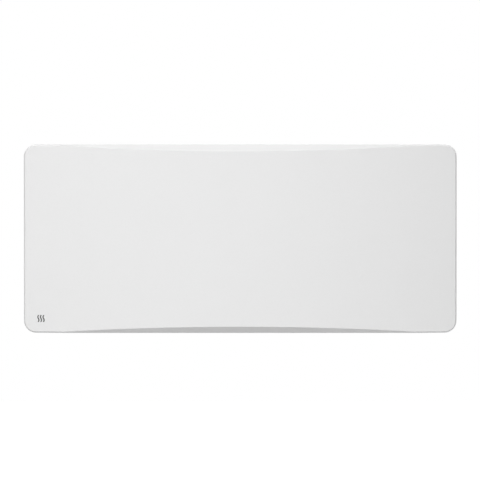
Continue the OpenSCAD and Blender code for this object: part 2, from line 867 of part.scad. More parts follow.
module bulkhead() color("lightgray") {
    end_room = 24;
    front_room = 10;
    foot = 12;
    half_h = casing_top - end_room;
    front = -face_y(bulkhead_x + bulkhead_t, panel_t) - front_room;
    difference() {
        union() {
            translate([bulkhead_x, -front, -half_h]) cube([bulkhead_t, front - floor_dist, 2 * half_h]);
            translate([bulkhead_x, -floor_dist - bulkhead_t, -half_h])
                cube([bulkhead_t + foot, bulkhead_t, 2 * half_h]);
        }
        translate([bulkhead_x - over, -lead_dist, lead_z]) rotate([0, 90, 0])
            cylinder(d = grommet_d, h = bulkhead_t + 2 * over);
    }
}

module lead_grommet() color("dimgray") {
    hole_r = grommet_d / 2 - fit / 2;
    rim_t = 1.5;
    wall = 2;
    translate([bulkhead_x + bulkhead_t / 2, -lead_dist, lead_z]) rotate([0, 90, 0]) difference() {
        union() {
            cylinder(r = hole_r, h = bulkhead_t + 2 * (rim_t + snug), center = true);
            for (s = [-1, 1]) translate([0, 0, s * (bulkhead_t / 2 + snug + rim_t / 2)])
                cylinder(r = hole_r + rim_t, h = rim_t, center = true);
        }
        cylinder(r = hole_r - wall, h = grommet_d, center = true);
    }
}

module thermal_limiter() color("dimgray") {
    z = core_h / 2 + pad_t + rail_t;
    x = core_x(1) + core_w / 2 + core_gap / 2;
    can_d = 16;
    can_h = 9;
    plate = [24, 10, 1];
    plate_r = 3;
    blade = [0.8, 6, 8];
    blade_x = 5;
    translate([x, -floor_dist - can_d, z]) {
        linear_extrude(plate[2]) rounded(plate[0], plate[1], plate_r);
        cylinder(d = can_d, h = can_h);
        for (s = [-1, 1]) translate([s * blade_x - blade[0] / 2, -blade[1] / 2, can_h - weld])
            cube([blade[0], blade[1], blade[2] + weld]);
    }
}

// A grille that drops flush into the casing's top wall from inside
module grille() {
    n = floor((grille_w - 2 * lip) / slot_pitch);
    difference() {
        union() {
            level(grille_x, insert_shelf - weld, insert_top)
                square([grille_w - 2 * fit, insert_d], center = true);
            level(grille_x, insert_shelf - insert_t, insert_shelf)
                square([grille_w + 2 * lip, grille_d + 2 * lip_d], center = true);
        }
        for (i = [0:n - 1]) level(grille_x + (i - (n - 1) / 2) * slot_pitch,
            insert_shelf - insert_t - over, insert_top + over) slot(slot_w, insert_d - 2 * slot_margin);
    }
}

module top_grille() color("whitesmoke") grille();
module intake_grille() color("whitesmoke") flip_z(true) grille();

// x of key number i, from the left
function key_at(i) = key_x0 + i * key_pitch;

module control_housing() color("white") {
    in_w = ctrl_body_w - 2 * ctrl_wall;
    in_d = insert_d - 2 * ctrl_wall;
    difference() {
        union() {
            level(ctrl_x, insert_shelf - weld, insert_top)
                square([ctrl_w - 2 * fit, insert_d], center = true);
            level(ctrl_x, ctrl_low, insert_shelf) square([ctrl_body_w, insert_d], center = true);
        }
        level(ctrl_x, ctrl_low - over, board_top) square([in_w, in_d], center = true);
        level(ctrl_x, board_top - over, ctrl_under)
            square([in_w - 2 * ledge_w, in_d], center = true);
        level(window_x, ctrl_under - over, insert_top + over)
            square([window_w + 2 * fit, window_d + 2 * fit], center = true);
        level(light_x, ctrl_under - over, insert_top + over) circle(d = light_d + 2 * fit);
        for (i = [0:4]) level(key_at(i), ctrl_under - over, insert_top + over)
            rounded(key_w + 2 * fit, key_d + 2 * fit, key_r + fit);
    }
}

module housing_cover() color("lightgray") {
    in_w = ctrl_body_w - 2 * ctrl_wall - 2 * fit;
    cover_t = 1.6;
    prop_t = 2;
    cable_slot = [16, 6];
    difference() {
        union() {
            level(ctrl_x, ctrl_low, ctrl_low + cover_t) square([in_w, board_d], center = true);
            for (s = [-1, 1]) level(ctrl_x + s * (in_w - prop_t) / 2, ctrl_low, board_top - board_t)
                square([prop_t, board_d], center = true);
        }
        level(ctrl_x, ctrl_low - over, ctrl_low + cover_t + over) square(cable_slot, center = true);
    }
}

module display_window() color("black") {
    level(window_x, ctrl_under - weld, insert_top - window_sink)
        square([window_w, window_d], center = true);
    level(window_x, ctrl_under - window_flange_t, ctrl_under)
        square([window_w + 2 * window_lip, window_d + window_lip], center = true);
}

module lcd_module() color("darkseagreen") {
    glass_t = 2.4;
    stand_in = 0.5;
    level(window_x, board_top, lcd_top - glass_t + weld)
        square([window_w - 2 * stand_in, window_d - 2 * stand_in], center = true);
    level(window_x, lcd_top - glass_t, lcd_top) square([window_w + 2, window_d + 1], center = true);
}

module control_board() color("seagreen") {
    socket_d = 5;
    level(ctrl_x, board_top - board_t, board_top)
        square([ctrl_body_w - 2 * ctrl_wall - 2 * fit, board_d], center = true);
    level(ctrl_x, board_top - board_t - socket_h, board_top - board_t + weld)
        square([header_w, socket_d], center = true);
}

module key_switches() color("dimgray") {
    for (i = [0:4]) {
        level(key_at(i), board_top, board_top + tact_h) square(tact_w, center = true);
        level(key_at(i), board_top + tact_h - weld, plunger_top) circle(d = plunger_d);
    }
}

module key(i) color("white") {
    flange_top = ctrl_under - fit;
    level(key_at(i), flange_top - weld, insert_top + key_rise) rounded(key_w, key_d, key_r);
    level(key_at(i), flange_top - flange_t, flange_top)
        square([key_w + 2 * flange_over, key_d + 2 * flange_over], center = true);
    level(key_at(i), key_low, flange_top - flange_t + weld) circle(d = key_foot_d);
}

module key_power() key(0);
module key_mode() key(1);
module key_minus() key(2);
module key_plus() key(3);
module key_ok() key(4);

module status_light() color("aliceblue") {
    level(light_x, board_top, insert_top) circle(d = light_d);
}

board_spots = [for (x = [-1, 1], z = [-1, 1])
    [power_x + x * (power_w / 2 - board_spot), power_z + z * (power_h / 2 - board_spot)]];

module power_board() color("seagreen") {
    slab(power_dist, power_dist + board_t) difference() {
        translate([power_x, power_z]) rounded(power_w, power_h, 2);
        for (p = board_spots) translate(p) circle(d = board_spacer_d / 2 + 2 * spacer_fit);
    }
    block(ctrl_x, ribbon_low, header_w, header_h, vent_mid + ribbon_t / 2, power_dist + weld);
}

module board_spacers() color("ivory") {
    clip_h = 1.5;
    for (p = board_spots) {
        rod(p[0], p[1], floor_dist, power_dist, board_spacer_d);
        rod(p[0], p[1], power_dist - weld, board_front + weld, board_spacer_d / 2);
        rod(p[0], p[1], board_front, board_front + clip_h, board_spacer_d - 1);
    }
}

// One relay for each core
module power_relay() color("dimgray") {
    for (i = [0:core_n - 1])
        block(power_x - relay_w, power_z + relay_w - i * (relay_h + relay_gap), relay_w, relay_h,
            board_front, board_front + relay_d);
}

// Transformer, two smoothing capacitors and a regulator
module power_supply() color("goldenrod") {
    block(power_x + relay_w, power_z + 2 * trafo_w, trafo_w, trafo_h,
        board_front, board_front + relay_d + 1);
    rod(power_x + cap_in, power_z + cap_in, board_front, board_front + 1.5 * cap_d, cap_d);
    rod(power_x + cap_in + cap_d + cap_gap, power_z + cap_in - cap_step, board_front, board_front + cap_d,
        cap_d * 2 / 3);
    block(power_x + relay_w, power_z - trafo_w, regulator[0], regulator[1],
        board_front, board_front + regulator[2]);
}

// Joining block for the cores' leads on the board, and the mains block on the casing
module terminal_block() color("ivory") {
    block(join_x + (2 * core_n - 1) * join_pitch / 2, join_z + join_h / 2, 2 * core_n * join_pitch, join_h,
        board_front, board_front + join_d);
    difference() {
        block(block_x, block_z, 3 * pole_pitch + 2 * block_edge, block_h, floor_dist, floor_dist + block_d);
        for (k = [-1:1]) {
            rod(block_x + k * pole_pitch, block_z, floor_dist + pole_floor, floor_dist + block_d + over,
                pole_d);
            for (s = [-1, 1])
                block(block_x + k * pole_pitch, block_z + s * block_h / 2, wire_hole[0], wire_hole[1],
                    floor_dist + block_low - wire_hole[2] / 2, floor_dist + block_low + wire_hole[2] / 2);
        }
    }
}

module service_panel() color("white") {
    z0 = -insert_top;
    z1 = -insert_shelf;
    in_w = ctrl_w - 2 * fit - 2 * ctrl_wall;
    in_d = insert_d - 2 * ctrl_wall;
    difference() {
        union() {
            level(ctrl_x, z0, z1 + weld) square([ctrl_w - 2 * fit, insert_d], center = true);
            level(ctrl_x, z1, z1 + service_h) square([ctrl_body_w, insert_d], center = true);
        }
        level(ctrl_x, z0 - over, service_z) square([in_w, in_d], center = true);
        level(ctrl_x, service_z + service_floor_t, z1 + service_h + over)
            square([ctrl_body_w - 2 * ctrl_wall, in_d], center = true);
        level(switch_x, service_z - over, service_z + service_floor_t + over)
            square([switch_w + 2 * fit, switch_d + 2 * fit], center = true);
        for (k = [0:probe_slots - 1]) level(probe_x + (k - (probe_slots - 1) / 2) * probe_pitch,
            service_z - over, service_z + service_floor_t + over)
                slot(probe_pitch / 2, in_d - 2 * probe_margin);
    }
}

module switch_body() color("black") {
    hollow_w = switch_w - 2 * switch_wall;
    hollow_d = rocker_d + 2 * rocker_room;
    difference() {
        union() {
            level(switch_x, service_z, service_z + switch_h) square([switch_w, switch_d], center = true);
            level(switch_x, service_z - bezel_t, service_z)
                square([switch_w + 2 * bezel_over, switch_d + 2 * bezel_over], center = true);
            for (k = [-1:1]) level(switch_x + k * tab_pitch, service_z + switch_h - weld,
                service_z + switch_h + tab_l) square(tab, center = true);
        }
        level(switch_x, service_z - bezel_t - over, service_z + switch_h - switch_floor)
            square([hollow_w, hollow_d], center = true);
        translate([switch_x, -vent_mid, rocker_z]) rotate([90, 0, 0])
            cylinder(d = stub_d + 2 * stub_fit, h = hollow_d + 2 * stub_l + snug, center = true);
    }
}

// The rocker's section, outwards upwards, level
module rocker_outline() {
    end = rocker_w / 2;
    rise = 1.4;
    sink = 0.4;
    mid_h = rocker_drop - sink;
    end_t = 1.2;
    foot_w = 8;
    foot_h = 2.5;
    polygon([[-end, mid_h + rise], [0, mid_h], [end, mid_h + rise], [end, mid_h - end_t],
        [foot_w / 2, -foot_h], [-foot_w / 2, -foot_h], [-end, mid_h - end_t]]);
}

module switch_rocker() color("black") {
    translate([switch_x, -vent_mid, rocker_z]) rotate([0, -rocker_tilt, 0]) {
        rotate([-90, 0, 0]) linear_extrude(rocker_d, center = true) rocker_outline();
        rotate([90, 0, 0])
            cylinder(d = stub_d, h = rocker_d + 2 * (rocker_room + stub_l - snug), center = true);
    }
}

module room_probe() color("black") {
    z = service_z + service_floor_t;
    bead_d = 4;
    bead_l = 12;
    bead_rise = 4.5;
    plate_h = 2;
    plate_d = 9;
    gap_d = 4;
    cheek = [3, 6, 6];
    level(probe_x, z, z + plate_h) difference() {
        square([(probe_slots + 1) * probe_pitch, plate_d], center = true);
        for (k = [0:probe_slots - 1]) translate([(k - (probe_slots - 1) / 2) * probe_pitch, 0])
            square([probe_pitch / 2, gap_d], center = true);
    }
    translate([probe_x, -vent_mid, z + bead_rise]) rotate([0, 90, 0])
        cylinder(d = bead_d, h = bead_l, center = true);
    for (s = [-1, 1]) translate([probe_x + s * (bead_l / 2 + 1), -vent_mid, z + bead_d])
        cube(cheek, center = true);
}

module cable_gland() color("black") {
    difference() {
        union() {
            rod(gland_x, gland_z, wall_gap - gland_flange_t, wall_gap, gland_flange);
            rod(gland_x, gland_z, wall_gap - gland_flange_t, floor_dist + thread_l, gland_d);
            translate([gland_x, -wall_gap + gland_flange_t - weld, gland_z]) rotate([-90, 0, 0])
                cylinder(d1 = gland_d, d2 = gland_d - gland_taper, h = gland_nose - gland_flange_t + weld);
        }
        rod(gland_x, gland_z, 0, floor_dist + thread_l + over, cable_d);
    }
}

module gland_nut() color("black") {
    slab(floor_dist, floor_dist + nut_t) difference() {
        translate([gland_x, gland_z]) circle(d = (gland_d + 2 * nut_wall) / cos(30), $fn = 6);
        translate([gland_x, gland_z]) circle(d = gland_d + 2 * press_fit);
    }
}

module earth_stud() color("goldenrod") {
    stud_l = 14;
    washer_t = 1;
    nut_af = 9;
    head_t = 1.5;
    rod(stud_x, stud_z, wall_gap - weld, floor_dist + stud_l, stud_d);
    rod(stud_x, stud_z, wall_gap - head_t, wall_gap, 2 * stud_d);
    rod(stud_x, stud_z, floor_dist, floor_dist + washer_t, 2 * stud_d);
    slab(floor_dist + washer_t, floor_dist + washer_t + nut_t)
        translate([stud_x, stud_z]) circle(d = nut_af, $fn = 6);
}

// A lead through a list of points, with round elbows
module lead(points, d) {
    for (i = [0:len(points) - 2]) {
        v = points[i + 1] - points[i];
        translate(points[i]) rotate([0, acos(v[2] / norm(v)), atan2(v[1], v[0])])
            cylinder(d = d, h = norm(v), $fn = lead_fn);
    }
    for (i = [1:1:len(points) - 2]) translate(points[i]) sphere(d = d * elbow_k, $fn = lead_fn);
}

// Each lead takes a lane of its own under the cores, so that none crosses another
module core_leads() color("white") {
    lane_n = 2 * core_n;
    for (k = [0:lane_n - 1]) {
        x = core_x(floor(k / 2)) + (k % 2 == 0 ? -1 : 1) * leg_gap / 2;
        lane = lead_top - (lane_n - 1 - k) * lead_pitch;
        end_x = join_x + (lane_n - 1 - k) * join_pitch;
        lead([[x, -tube_dist, leg_low - terminal_l], [x, -tube_dist, lead_out], [x, -lead_dist, lead_out],
            [x, -lead_dist, lane], [end_x, -lead_dist, lane], [end_x, -lead_dist, join_z]], lead_d);
    }
}

module mains_leads() color("brown") {
    board_in = 30;
    turn = 8;
    low = floor_dist + block_low;
    tab_z = service_z + switch_h + tab_l;
    turn_z = tab_z + turn;
    board_z = power_z - power_h / 2 + board_in;
    pole_x = block_x + pole_pitch;
    lead([[block_x, -low, block_z + block_h / 2], [block_x, -low, board_z],
        [block_x, -power_dist, board_z]], mains_d);
    lead([[pole_x, -low, block_z - block_h / 2], [pole_x, -low, turn_z], [switch_x, -low, turn_z],
        [switch_x, -vent_mid, turn_z], [switch_x, -vent_mid, tab_z]], mains_d);
}

module ribbon_cable() color("lightgray") {
    z0 = ribbon_low - header_h / 2;
    z1 = board_top - board_t - socket_h;
    block(ctrl_x, (z0 + z1) / 2, ribbon_w, z1 - z0, vent_mid - ribbon_t / 2, vent_mid + ribbon_t / 2);
}

wall_bracket();
hinge_saddles();
catch_springs();
catch_rivets();
hinge_pins();
catch_pins();
pin_ears();
back_casing();
wall_buffers();
front_panel();
panel_posts();
panel_screws();
front_film();
core_left();
core_middle();
core_right();
element_left();
element_middle();
element_right();
element_clamps();
clamp_screws();
terminal_seals();
lower_rail();
upper_rail();
core_pads();
heat_shield();
shield_spacers();
shield_screws();
bulkhead();
lead_grommet();
thermal_limiter();
top_grille();
intake_grille();
control_housing();
housing_cover();
display_window();
lcd_module();
control_board();
key_switches();
key_power();
key_mode();
key_minus();
key_plus();
key_ok();
status_light();
power_board();
board_spacers();
power_relay();
power_supply();
terminal_block();
service_panel();
switch_body();
switch_rocker();
room_probe();
cable_gland();
gland_nut();
earth_stud();
core_leads();
mains_leads();
ribbon_cable();
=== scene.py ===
import json
import math
import bmesh
import bpy
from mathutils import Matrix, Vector


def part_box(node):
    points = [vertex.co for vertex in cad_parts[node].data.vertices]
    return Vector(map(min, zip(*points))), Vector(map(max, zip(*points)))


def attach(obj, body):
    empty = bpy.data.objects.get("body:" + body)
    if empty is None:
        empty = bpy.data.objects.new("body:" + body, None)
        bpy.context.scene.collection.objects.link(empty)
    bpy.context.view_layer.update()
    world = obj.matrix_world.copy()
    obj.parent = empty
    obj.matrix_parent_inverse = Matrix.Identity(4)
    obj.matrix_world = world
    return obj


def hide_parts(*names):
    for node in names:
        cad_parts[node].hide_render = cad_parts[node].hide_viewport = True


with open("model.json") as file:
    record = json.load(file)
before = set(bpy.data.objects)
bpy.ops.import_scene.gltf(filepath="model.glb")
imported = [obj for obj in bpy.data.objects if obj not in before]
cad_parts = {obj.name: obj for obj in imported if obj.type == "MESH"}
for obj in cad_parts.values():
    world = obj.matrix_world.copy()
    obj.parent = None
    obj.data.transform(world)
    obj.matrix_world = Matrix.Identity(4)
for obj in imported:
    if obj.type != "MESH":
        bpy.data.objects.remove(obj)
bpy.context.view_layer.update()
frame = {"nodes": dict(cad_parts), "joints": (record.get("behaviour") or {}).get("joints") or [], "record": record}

MM = 0.001
SLOT_OF = {part["node"]: part["material_slot"] for part in frame["record"]["subparts"]}
BODIES = frame["record"]["behaviour"]["bodies"]
BODY_OF = {node: body for body, nodes in BODIES.items() for node in nodes}


# Shader helpers

# Places of the colour sockets in a Mix node, whose sockets of all kinds share their names
UNDER, OVER, MIXED = 6, 7, 2


def fill(tree, socket, value):
    """Links another node's output to the socket, or sets the socket to a plain value"""
    if isinstance(value, bpy.types.NodeSocket):
        tree.links.new(value, socket)
    else:
        socket.default_value = value


def add(tree, kind, inputs=None, **settings):
    """A shader node with its settings and its inputs"""
    made = tree.nodes.new(kind)
    for name, value in settings.items():
        setattr(made, name, value)
    for name, value in (inputs or {}).items():
        fill(tree, made.inputs[name], value)
    return made


def maths(tree, operation, a, b):
    """One step of arithmetic on two values"""
    return add(tree, "ShaderNodeMath", {0: a, 1: b}, operation=operation).outputs[0]


def coordinate(tree, place, axis):
    """The X, Y or Z of a place"""
    return add(tree, "ShaderNodeSeparateXYZ", {"Vector": place}).outputs[axis]


def noise(tree, place, scale, detail, **inputs):
    """A cloudy value from 0 to 1, with about as many clouds to a unit of the place as scale says"""
    given = {"Vector": place, "Scale": scale, "Detail": detail, **inputs}
    return add(tree, "ShaderNodeTexNoise", given).outputs["Fac"]


def ramp(tree, value, start, end):
    """Runs softly from 0 at start to 1 at end"""
    made = add(tree, "ShaderNodeMapRange", {"Value": value, "From Min": start, "From Max": end},
               interpolation_type="SMOOTHSTEP")
    return made.outputs["Result"]


def between(tree, share, low, high):
    """Runs evenly from low to high with a share from 0 to 1"""
    made = add(tree, "ShaderNodeMapRange", {"Value": share, "To Min": low, "To Max": high})
    return made.outputs["Result"]


def shift(tree, value, mask, amount):
    """Adds an amount where the mask is 1"""
    return maths(tree, "ADD", value, maths(tree, "MULTIPLY", mask, amount))


def mix_colour(tree, mask, under, over):
    """The colour under where the mask is 0, and the colour over where it is 1"""
    made = add(tree, "ShaderNodeMix", {"Factor": mask, UNDER: under, OVER: over}, data_type="RGBA")
    return made.outputs[MIXED]


def tint(tree, under, mask, share, over):
    """Lays a share of a colour over another where the mask is 1"""
    return mix_colour(tree, maths(tree, "MULTIPLY", mask, share), under, over)


def grey(tone):
    """A neutral colour"""
    return (tone, tone, tone, 1.0)


def shade(colour, factor, lift=0.0):
    """A colour made darker or paler"""
    return tuple(min(1.0, channel * factor + lift) for channel in colour[:3]) + (1.0,)


def new_group(name, inputs, outputs):
    """A shader node group that takes a place and the named inputs, and puts out the named values"""
    tree = bpy.data.node_groups.new(name, "ShaderNodeTree")
    tree.interface.new_socket("Vector", in_out="INPUT", socket_type="NodeSocketVector")
    for label, default in inputs.items():
        kind = "NodeSocketVector" if isinstance(default, tuple) else "NodeSocketFloat"
        tree.interface.new_socket(label, in_out="INPUT", socket_type=kind).default_value = default
    for label in outputs:
        tree.interface.new_socket(label, in_out="OUTPUT", socket_type="NodeSocketFloat")
    given = tree.nodes.new("NodeGroupInput").outputs
    out = tree.nodes.new("NodeGroupOutput").inputs
    return tree, given, out


def grain_group():
    """Fine surface texture: a height made of fine grain on a softer swell, and a slow drift"""
    tree, given, out = new_group("fine grain", {"Grain per metre": 900.0, "Swell share": 0.5},
                                 ["Height", "Drift"])
    place = given["Vector"]
    fine = noise(tree, place, given["Grain per metre"], 3.0, Roughness=0.55)
    swell = noise(tree, place, maths(tree, "MULTIPLY", given["Grain per metre"], 0.22), 1.0)
    drift = noise(tree, place, 7.0, 2.0)
    height = add(tree, "ShaderNodeMix", {"Factor": given["Swell share"], "A": fine, "B": swell})
    tree.links.new(height.outputs[0], out["Height"])
    tree.links.new(ramp(tree, drift, 0.3, 0.7), out["Drift"])
    return tree


def drawn_group():
    """Lines that rolling or drawing leaves in sheet and bar, along one axis, in brighter patches"""
    tree, given, out = new_group("drawn lines",
                                 {"Across": (900.0, 900.0, 12.0), "Patch per metre": 30.0},
                                 ["Height", "Patch"])
    stretched = add(tree, "ShaderNodeVectorMath", {0: given["Vector"], 1: given["Across"]},
                    operation="MULTIPLY").outputs[0]
    lines = noise(tree, stretched, 1.0, 4.0, Roughness=0.6)
    patch = noise(tree, given["Vector"], given["Patch per metre"], 2.0)
    tree.links.new(lines, out["Height"])
    tree.links.new(ramp(tree, patch, 0.35, 0.65), out["Patch"])
    return tree


def flakes_group():
    """Crystals of a zinc coat: a tone for each crystal and the low ridge between two"""
    tree, given, out = new_group("zinc flakes", {"Flakes per metre": 160.0}, ["Tone", "Ridge"])
    bent = add(tree, "ShaderNodeTexNoise", {"Vector": given["Vector"], "Scale": 220.0, "Detail": 1.0})
    sway = add(tree, "ShaderNodeVectorMath", {0: bent.outputs["Color"], "Scale": 4 * MM},
               operation="SCALE").outputs[0]
    place = add(tree, "ShaderNodeVectorMath", {0: given["Vector"], 1: sway},
                operation="ADD").outputs[0]
    across = {"Vector": place, "Scale": given["Flakes per metre"]}
    flakes = add(tree, "ShaderNodeTexVoronoi", across)
    tone = add(tree, "ShaderNodeSeparateColor", {"Color": flakes.outputs["Color"]}).outputs[0]
    edge = add(tree, "ShaderNodeTexVoronoi", across, feature="DISTANCE_TO_EDGE")
    tree.links.new(tone, out["Tone"])
    tree.links.new(ramp(tree, edge.outputs["Distance"], 0.0, 0.06), out["Ridge"])
    return tree


def marks_group():
    """Sparse specks and faint smears of handling, as masks"""
    tree, given, out = new_group("handling marks", {"Specks per metre": 120.0}, ["Specks", "Smears"])
    place = given["Vector"]
    cells = add(tree, "ShaderNodeTexVoronoi", {"Vector": place, "Scale": given["Specks per metre"]})
    near = maths(tree, "LESS_THAN", cells.outputs["Distance"], 0.07)
    draw = add(tree, "ShaderNodeSeparateColor", {"Color": cells.outputs["Color"]}).outputs[1]
    specks = maths(tree, "MULTIPLY", near, maths(tree, "GREATER_THAN", draw, 0.8))
    smear = noise(tree, place, 16.0, 4.0, Distortion=1.2)
    tree.links.new(specks, out["Specks"])
    tree.links.new(ramp(tree, smear, 0.52, 0.72), out["Smears"])
    return tree


def edges_group():
    """Outer edges that handling rubs first, broken up by a noise, as a mask"""
    tree, given, out = new_group("edge wear", {"Patches per metre": 90.0, "Reach": 0.5}, ["Wear"])
    outwards = add(tree, "ShaderNodeNewGeometry").outputs["Pointiness"]
    edge = ramp(tree, outwards, 0.505, 0.56)
    patchy = noise(tree, given["Vector"], given["Patches per metre"], 3.0)
    kept = maths(tree, "ADD", patchy, maths(tree, "SUBTRACT", given["Reach"], 0.5))
    wear = maths(tree, "MULTIPLY", edge, ramp(tree, kept, 0.4, 0.62))
    tree.links.new(wear, out["Wear"])
    return tree


GRAIN = grain_group()
DRAWN = drawn_group()
FLAKES = flakes_group()
MARKS = marks_group()
EDGES = edges_group()


def use_group(tree, group, place, **inputs):
    """Places a group in a material and gives its outputs"""
    made = tree.nodes.new("ShaderNodeGroup")
    made.node_tree = group
    fill(tree, made.inputs["Vector"], place)
    for name, value in inputs.items():
        fill(tree, made.inputs[name.replace("_", " ")], value)
    return made.outputs


def start_material(name, **constants):
    """A material with one Principled shader whose constants are set on its own sockets"""
    made = bpy.data.materials.new(name)
    made.use_nodes = True
    tree = made.node_tree
    shader = tree.nodes["Principled BSDF"]
    for socket, value in constants.items():
        shader.inputs[socket.replace("_", " ")].default_value = value
    place = add(tree, "ShaderNodeTexCoord").outputs["Object"]
    return made, tree, shader, place


def connect(tree, shader, colour, roughness, height=None, depth=0.02 * MM, strength=1.0):
    """Feeds the shader its colour, its roughness and a relief of the given depth"""
    tree.links.new(colour, shader.inputs["Base Color"])
    tree.links.new(roughness, shader.inputs["Roughness"])
    if height is not None:
        relief = add(tree, "ShaderNodeBump", {"Height": height, "Strength": strength,
                                              "Distance": depth})
        tree.links.new(relief.outputs["Normal"], shader.inputs["Normal"])


# Materials

def powder_coat(name, tone, grain, rough, wear_reach):
    """Baked powder paint: a slight orange skin with painted shade in its hollows, a trace of drift in tone and
    gloss, rubbed edges
    """
    made, tree, shader, place = start_material(name, IOR=1.48)
    skin = use_group(tree, GRAIN, place, Grain_per_metre=grain, Swell_share=0.45)
    marks = use_group(tree, MARKS, place, Specks_per_metre=70.0)
    wear = use_group(tree, EDGES, place, Patches_per_metre=60.0, Reach=wear_reach)["Wear"]
    # Its start lies above its end, so that the mask is 1 in the hollows, which are painted darker as painted shade
    shaded_hollows = ramp(tree, skin["Height"], 0.55, 0.3)
    paint = mix_colour(tree, skin["Drift"], grey(tone * 0.994), grey(tone * 1.004))
    paint = tint(tree, paint, shaded_hollows, 0.2, grey(tone * 0.93))
    paint = tint(tree, paint, marks["Specks"], 0.1, grey(tone * 0.7))
    paint = tint(tree, paint, wear, 0.12, grey(tone * 0.85))
    gloss = between(tree, skin["Drift"], rough - 0.02, rough + 0.02)
    gloss = shift(tree, gloss, marks["Smears"], 0.03)
    gloss = shift(tree, gloss, wear, -0.1)
    connect(tree, shader, paint, gloss, skin["Height"], depth=0.18 * MM, strength=0.7)
    return made


def moulded(name, colour, rough):
    """Plastic from a spark-eroded mould: an even fine texture, slightly glossy where it is rubbed"""
    made, tree, shader, place = start_material(name, IOR=1.47)
    skin = use_group(tree, GRAIN, place, Grain_per_metre=2200.0, Swell_share=0.25)
    marks = use_group(tree, MARKS, place, Specks_per_metre=140.0)
    wear = use_group(tree, EDGES, place, Patches_per_metre=160.0, Reach=0.6)["Wear"]
    plastic = mix_colour(tree, skin["Drift"], shade(colour, 0.93), colour)
    plastic = tint(tree, plastic, wear, 0.6, shade(colour, 1.06, 0.02))
    gloss = between(tree, skin["Drift"], rough + 0.03, rough - 0.03)
    gloss = shift(tree, gloss, marks["Smears"], -0.06)
    gloss = shift(tree, gloss, wear, -0.1)
    connect(tree, shader, plastic, gloss, skin["Height"], depth=0.02 * MM, strength=0.8)
    return made


def galvanised():
    """Zinc-coated sheet: grey crystals with low ridges, paler where the edges are rubbed"""
    made, tree, shader, place = start_material("galvanised sheet", Metallic=1.0)
    zinc = use_group(tree, FLAKES, place, Flakes_per_metre=150.0)
    skin = use_group(tree, GRAIN, place, Grain_per_metre=1500.0, Swell_share=0.3)
    wear = use_group(tree, EDGES, place, Patches_per_metre=120.0, Reach=0.6)["Wear"]
    tone = mix_colour(tree, zinc["Tone"], (0.38, 0.39, 0.405, 1), (0.56, 0.57, 0.58, 1))
    tone = tint(tree, tone, skin["Drift"], 0.25, (0.45, 0.455, 0.45, 1))
    tone = tint(tree, tone, wear, 0.5, (0.66, 0.665, 0.67, 1))
    gloss = shift(tree, between(tree, zinc["Tone"], 0.48, 0.34), wear, -0.1)
    height = shift(tree, maths(tree, "MULTIPLY", zinc["Ridge"], 0.35), skin["Height"], 0.4)
    connect(tree, shader, tone, gloss, height, depth=0.02 * MM, strength=0.6)
    return made


def drawn_metal(name, low, high, rough, across=(900.0, 900.0, 25.0)):
    """Bare or plated metal with the lines of its drawing or rolling"""
    made, tree, shader, place = start_material(name, Metallic=1.0)
    lines = use_group(tree, DRAWN, place, Across=across, Patch_per_metre=45.0)
    tone = mix_colour(tree, lines["Patch"], low, high)
    gloss = between(tree, lines["Height"], rough - 0.07, rough + 0.1)
    connect(tree, shader, tone, gloss, lines["Height"], depth=0.01 * MM, strength=0.7)
    return made


def heater_tube():
    """Steel tube that heat has turned straw and blue in patches"""
    made, tree, shader, place = start_material("heater tube", Metallic=1.0)
    lines = use_group(tree, DRAWN, place, Across=(1200.0, 1200.0, 40.0), Patch_per_metre=18.0)
    tone = mix_colour(tree, lines["Patch"], (0.36, 0.30, 0.22, 1), (0.30, 0.31, 0.36, 1))
    gloss = between(tree, lines["Height"], 0.28, 0.45)
    connect(tree, shader, tone, gloss, lines["Height"], depth=0.01 * MM)
    return made


def cast_iron():
    """Dark iron with the grain of its sand mould, a breath of rust and rubbed edges"""
    made, tree, shader, place = start_material("cast iron", Metallic=0.35)
    sand = use_group(tree, GRAIN, place, Grain_per_metre=520.0, Swell_share=0.55)
    marks = use_group(tree, MARKS, place, Specks_per_metre=220.0)
    wear = use_group(tree, EDGES, place, Patches_per_metre=200.0, Reach=0.55)["Wear"]
    tone = mix_colour(tree, sand["Height"], (0.055, 0.054, 0.055, 1), (0.15, 0.148, 0.15, 1))
    tone = tint(tree, tone, marks["Smears"], 0.3, (0.12, 0.075, 0.05, 1))
    tone = tint(tree, tone, wear, 0.7, (0.28, 0.275, 0.27, 1))
    gloss = between(tree, sand["Height"], 0.55, 0.82)
    connect(tree, shader, tone, gloss, sand["Height"], depth=0.3 * MM, strength=0.9)
    return made


def rubber(name, colour, rough):
    """Soft matt rubber or silicone with a little dust on it"""
    made, tree, shader, place = start_material(name, IOR=1.45, Sheen_Weight=0.15, Sheen_Roughness=0.5)
    skin = use_group(tree, GRAIN, place, Grain_per_metre=1400.0, Swell_share=0.4)
    marks = use_group(tree, MARKS, place, Specks_per_metre=260.0)
    wear = use_group(tree, EDGES, place, Patches_per_metre=250.0, Reach=0.55)["Wear"]
    dusty = shade(colour, 1.0, 0.06)
    tone = tint(tree, colour, marks["Smears"], 0.5, dusty)
    tone = tint(tree, tone, marks["Specks"], 0.4, dusty)
    tone = tint(tree, tone, wear, 0.6, dusty)
    gloss = between(tree, skin["Height"], rough - 0.05, rough + 0.08)
    connect(tree, shader, tone, gloss, skin["Height"], depth=0.04 * MM)
    return made


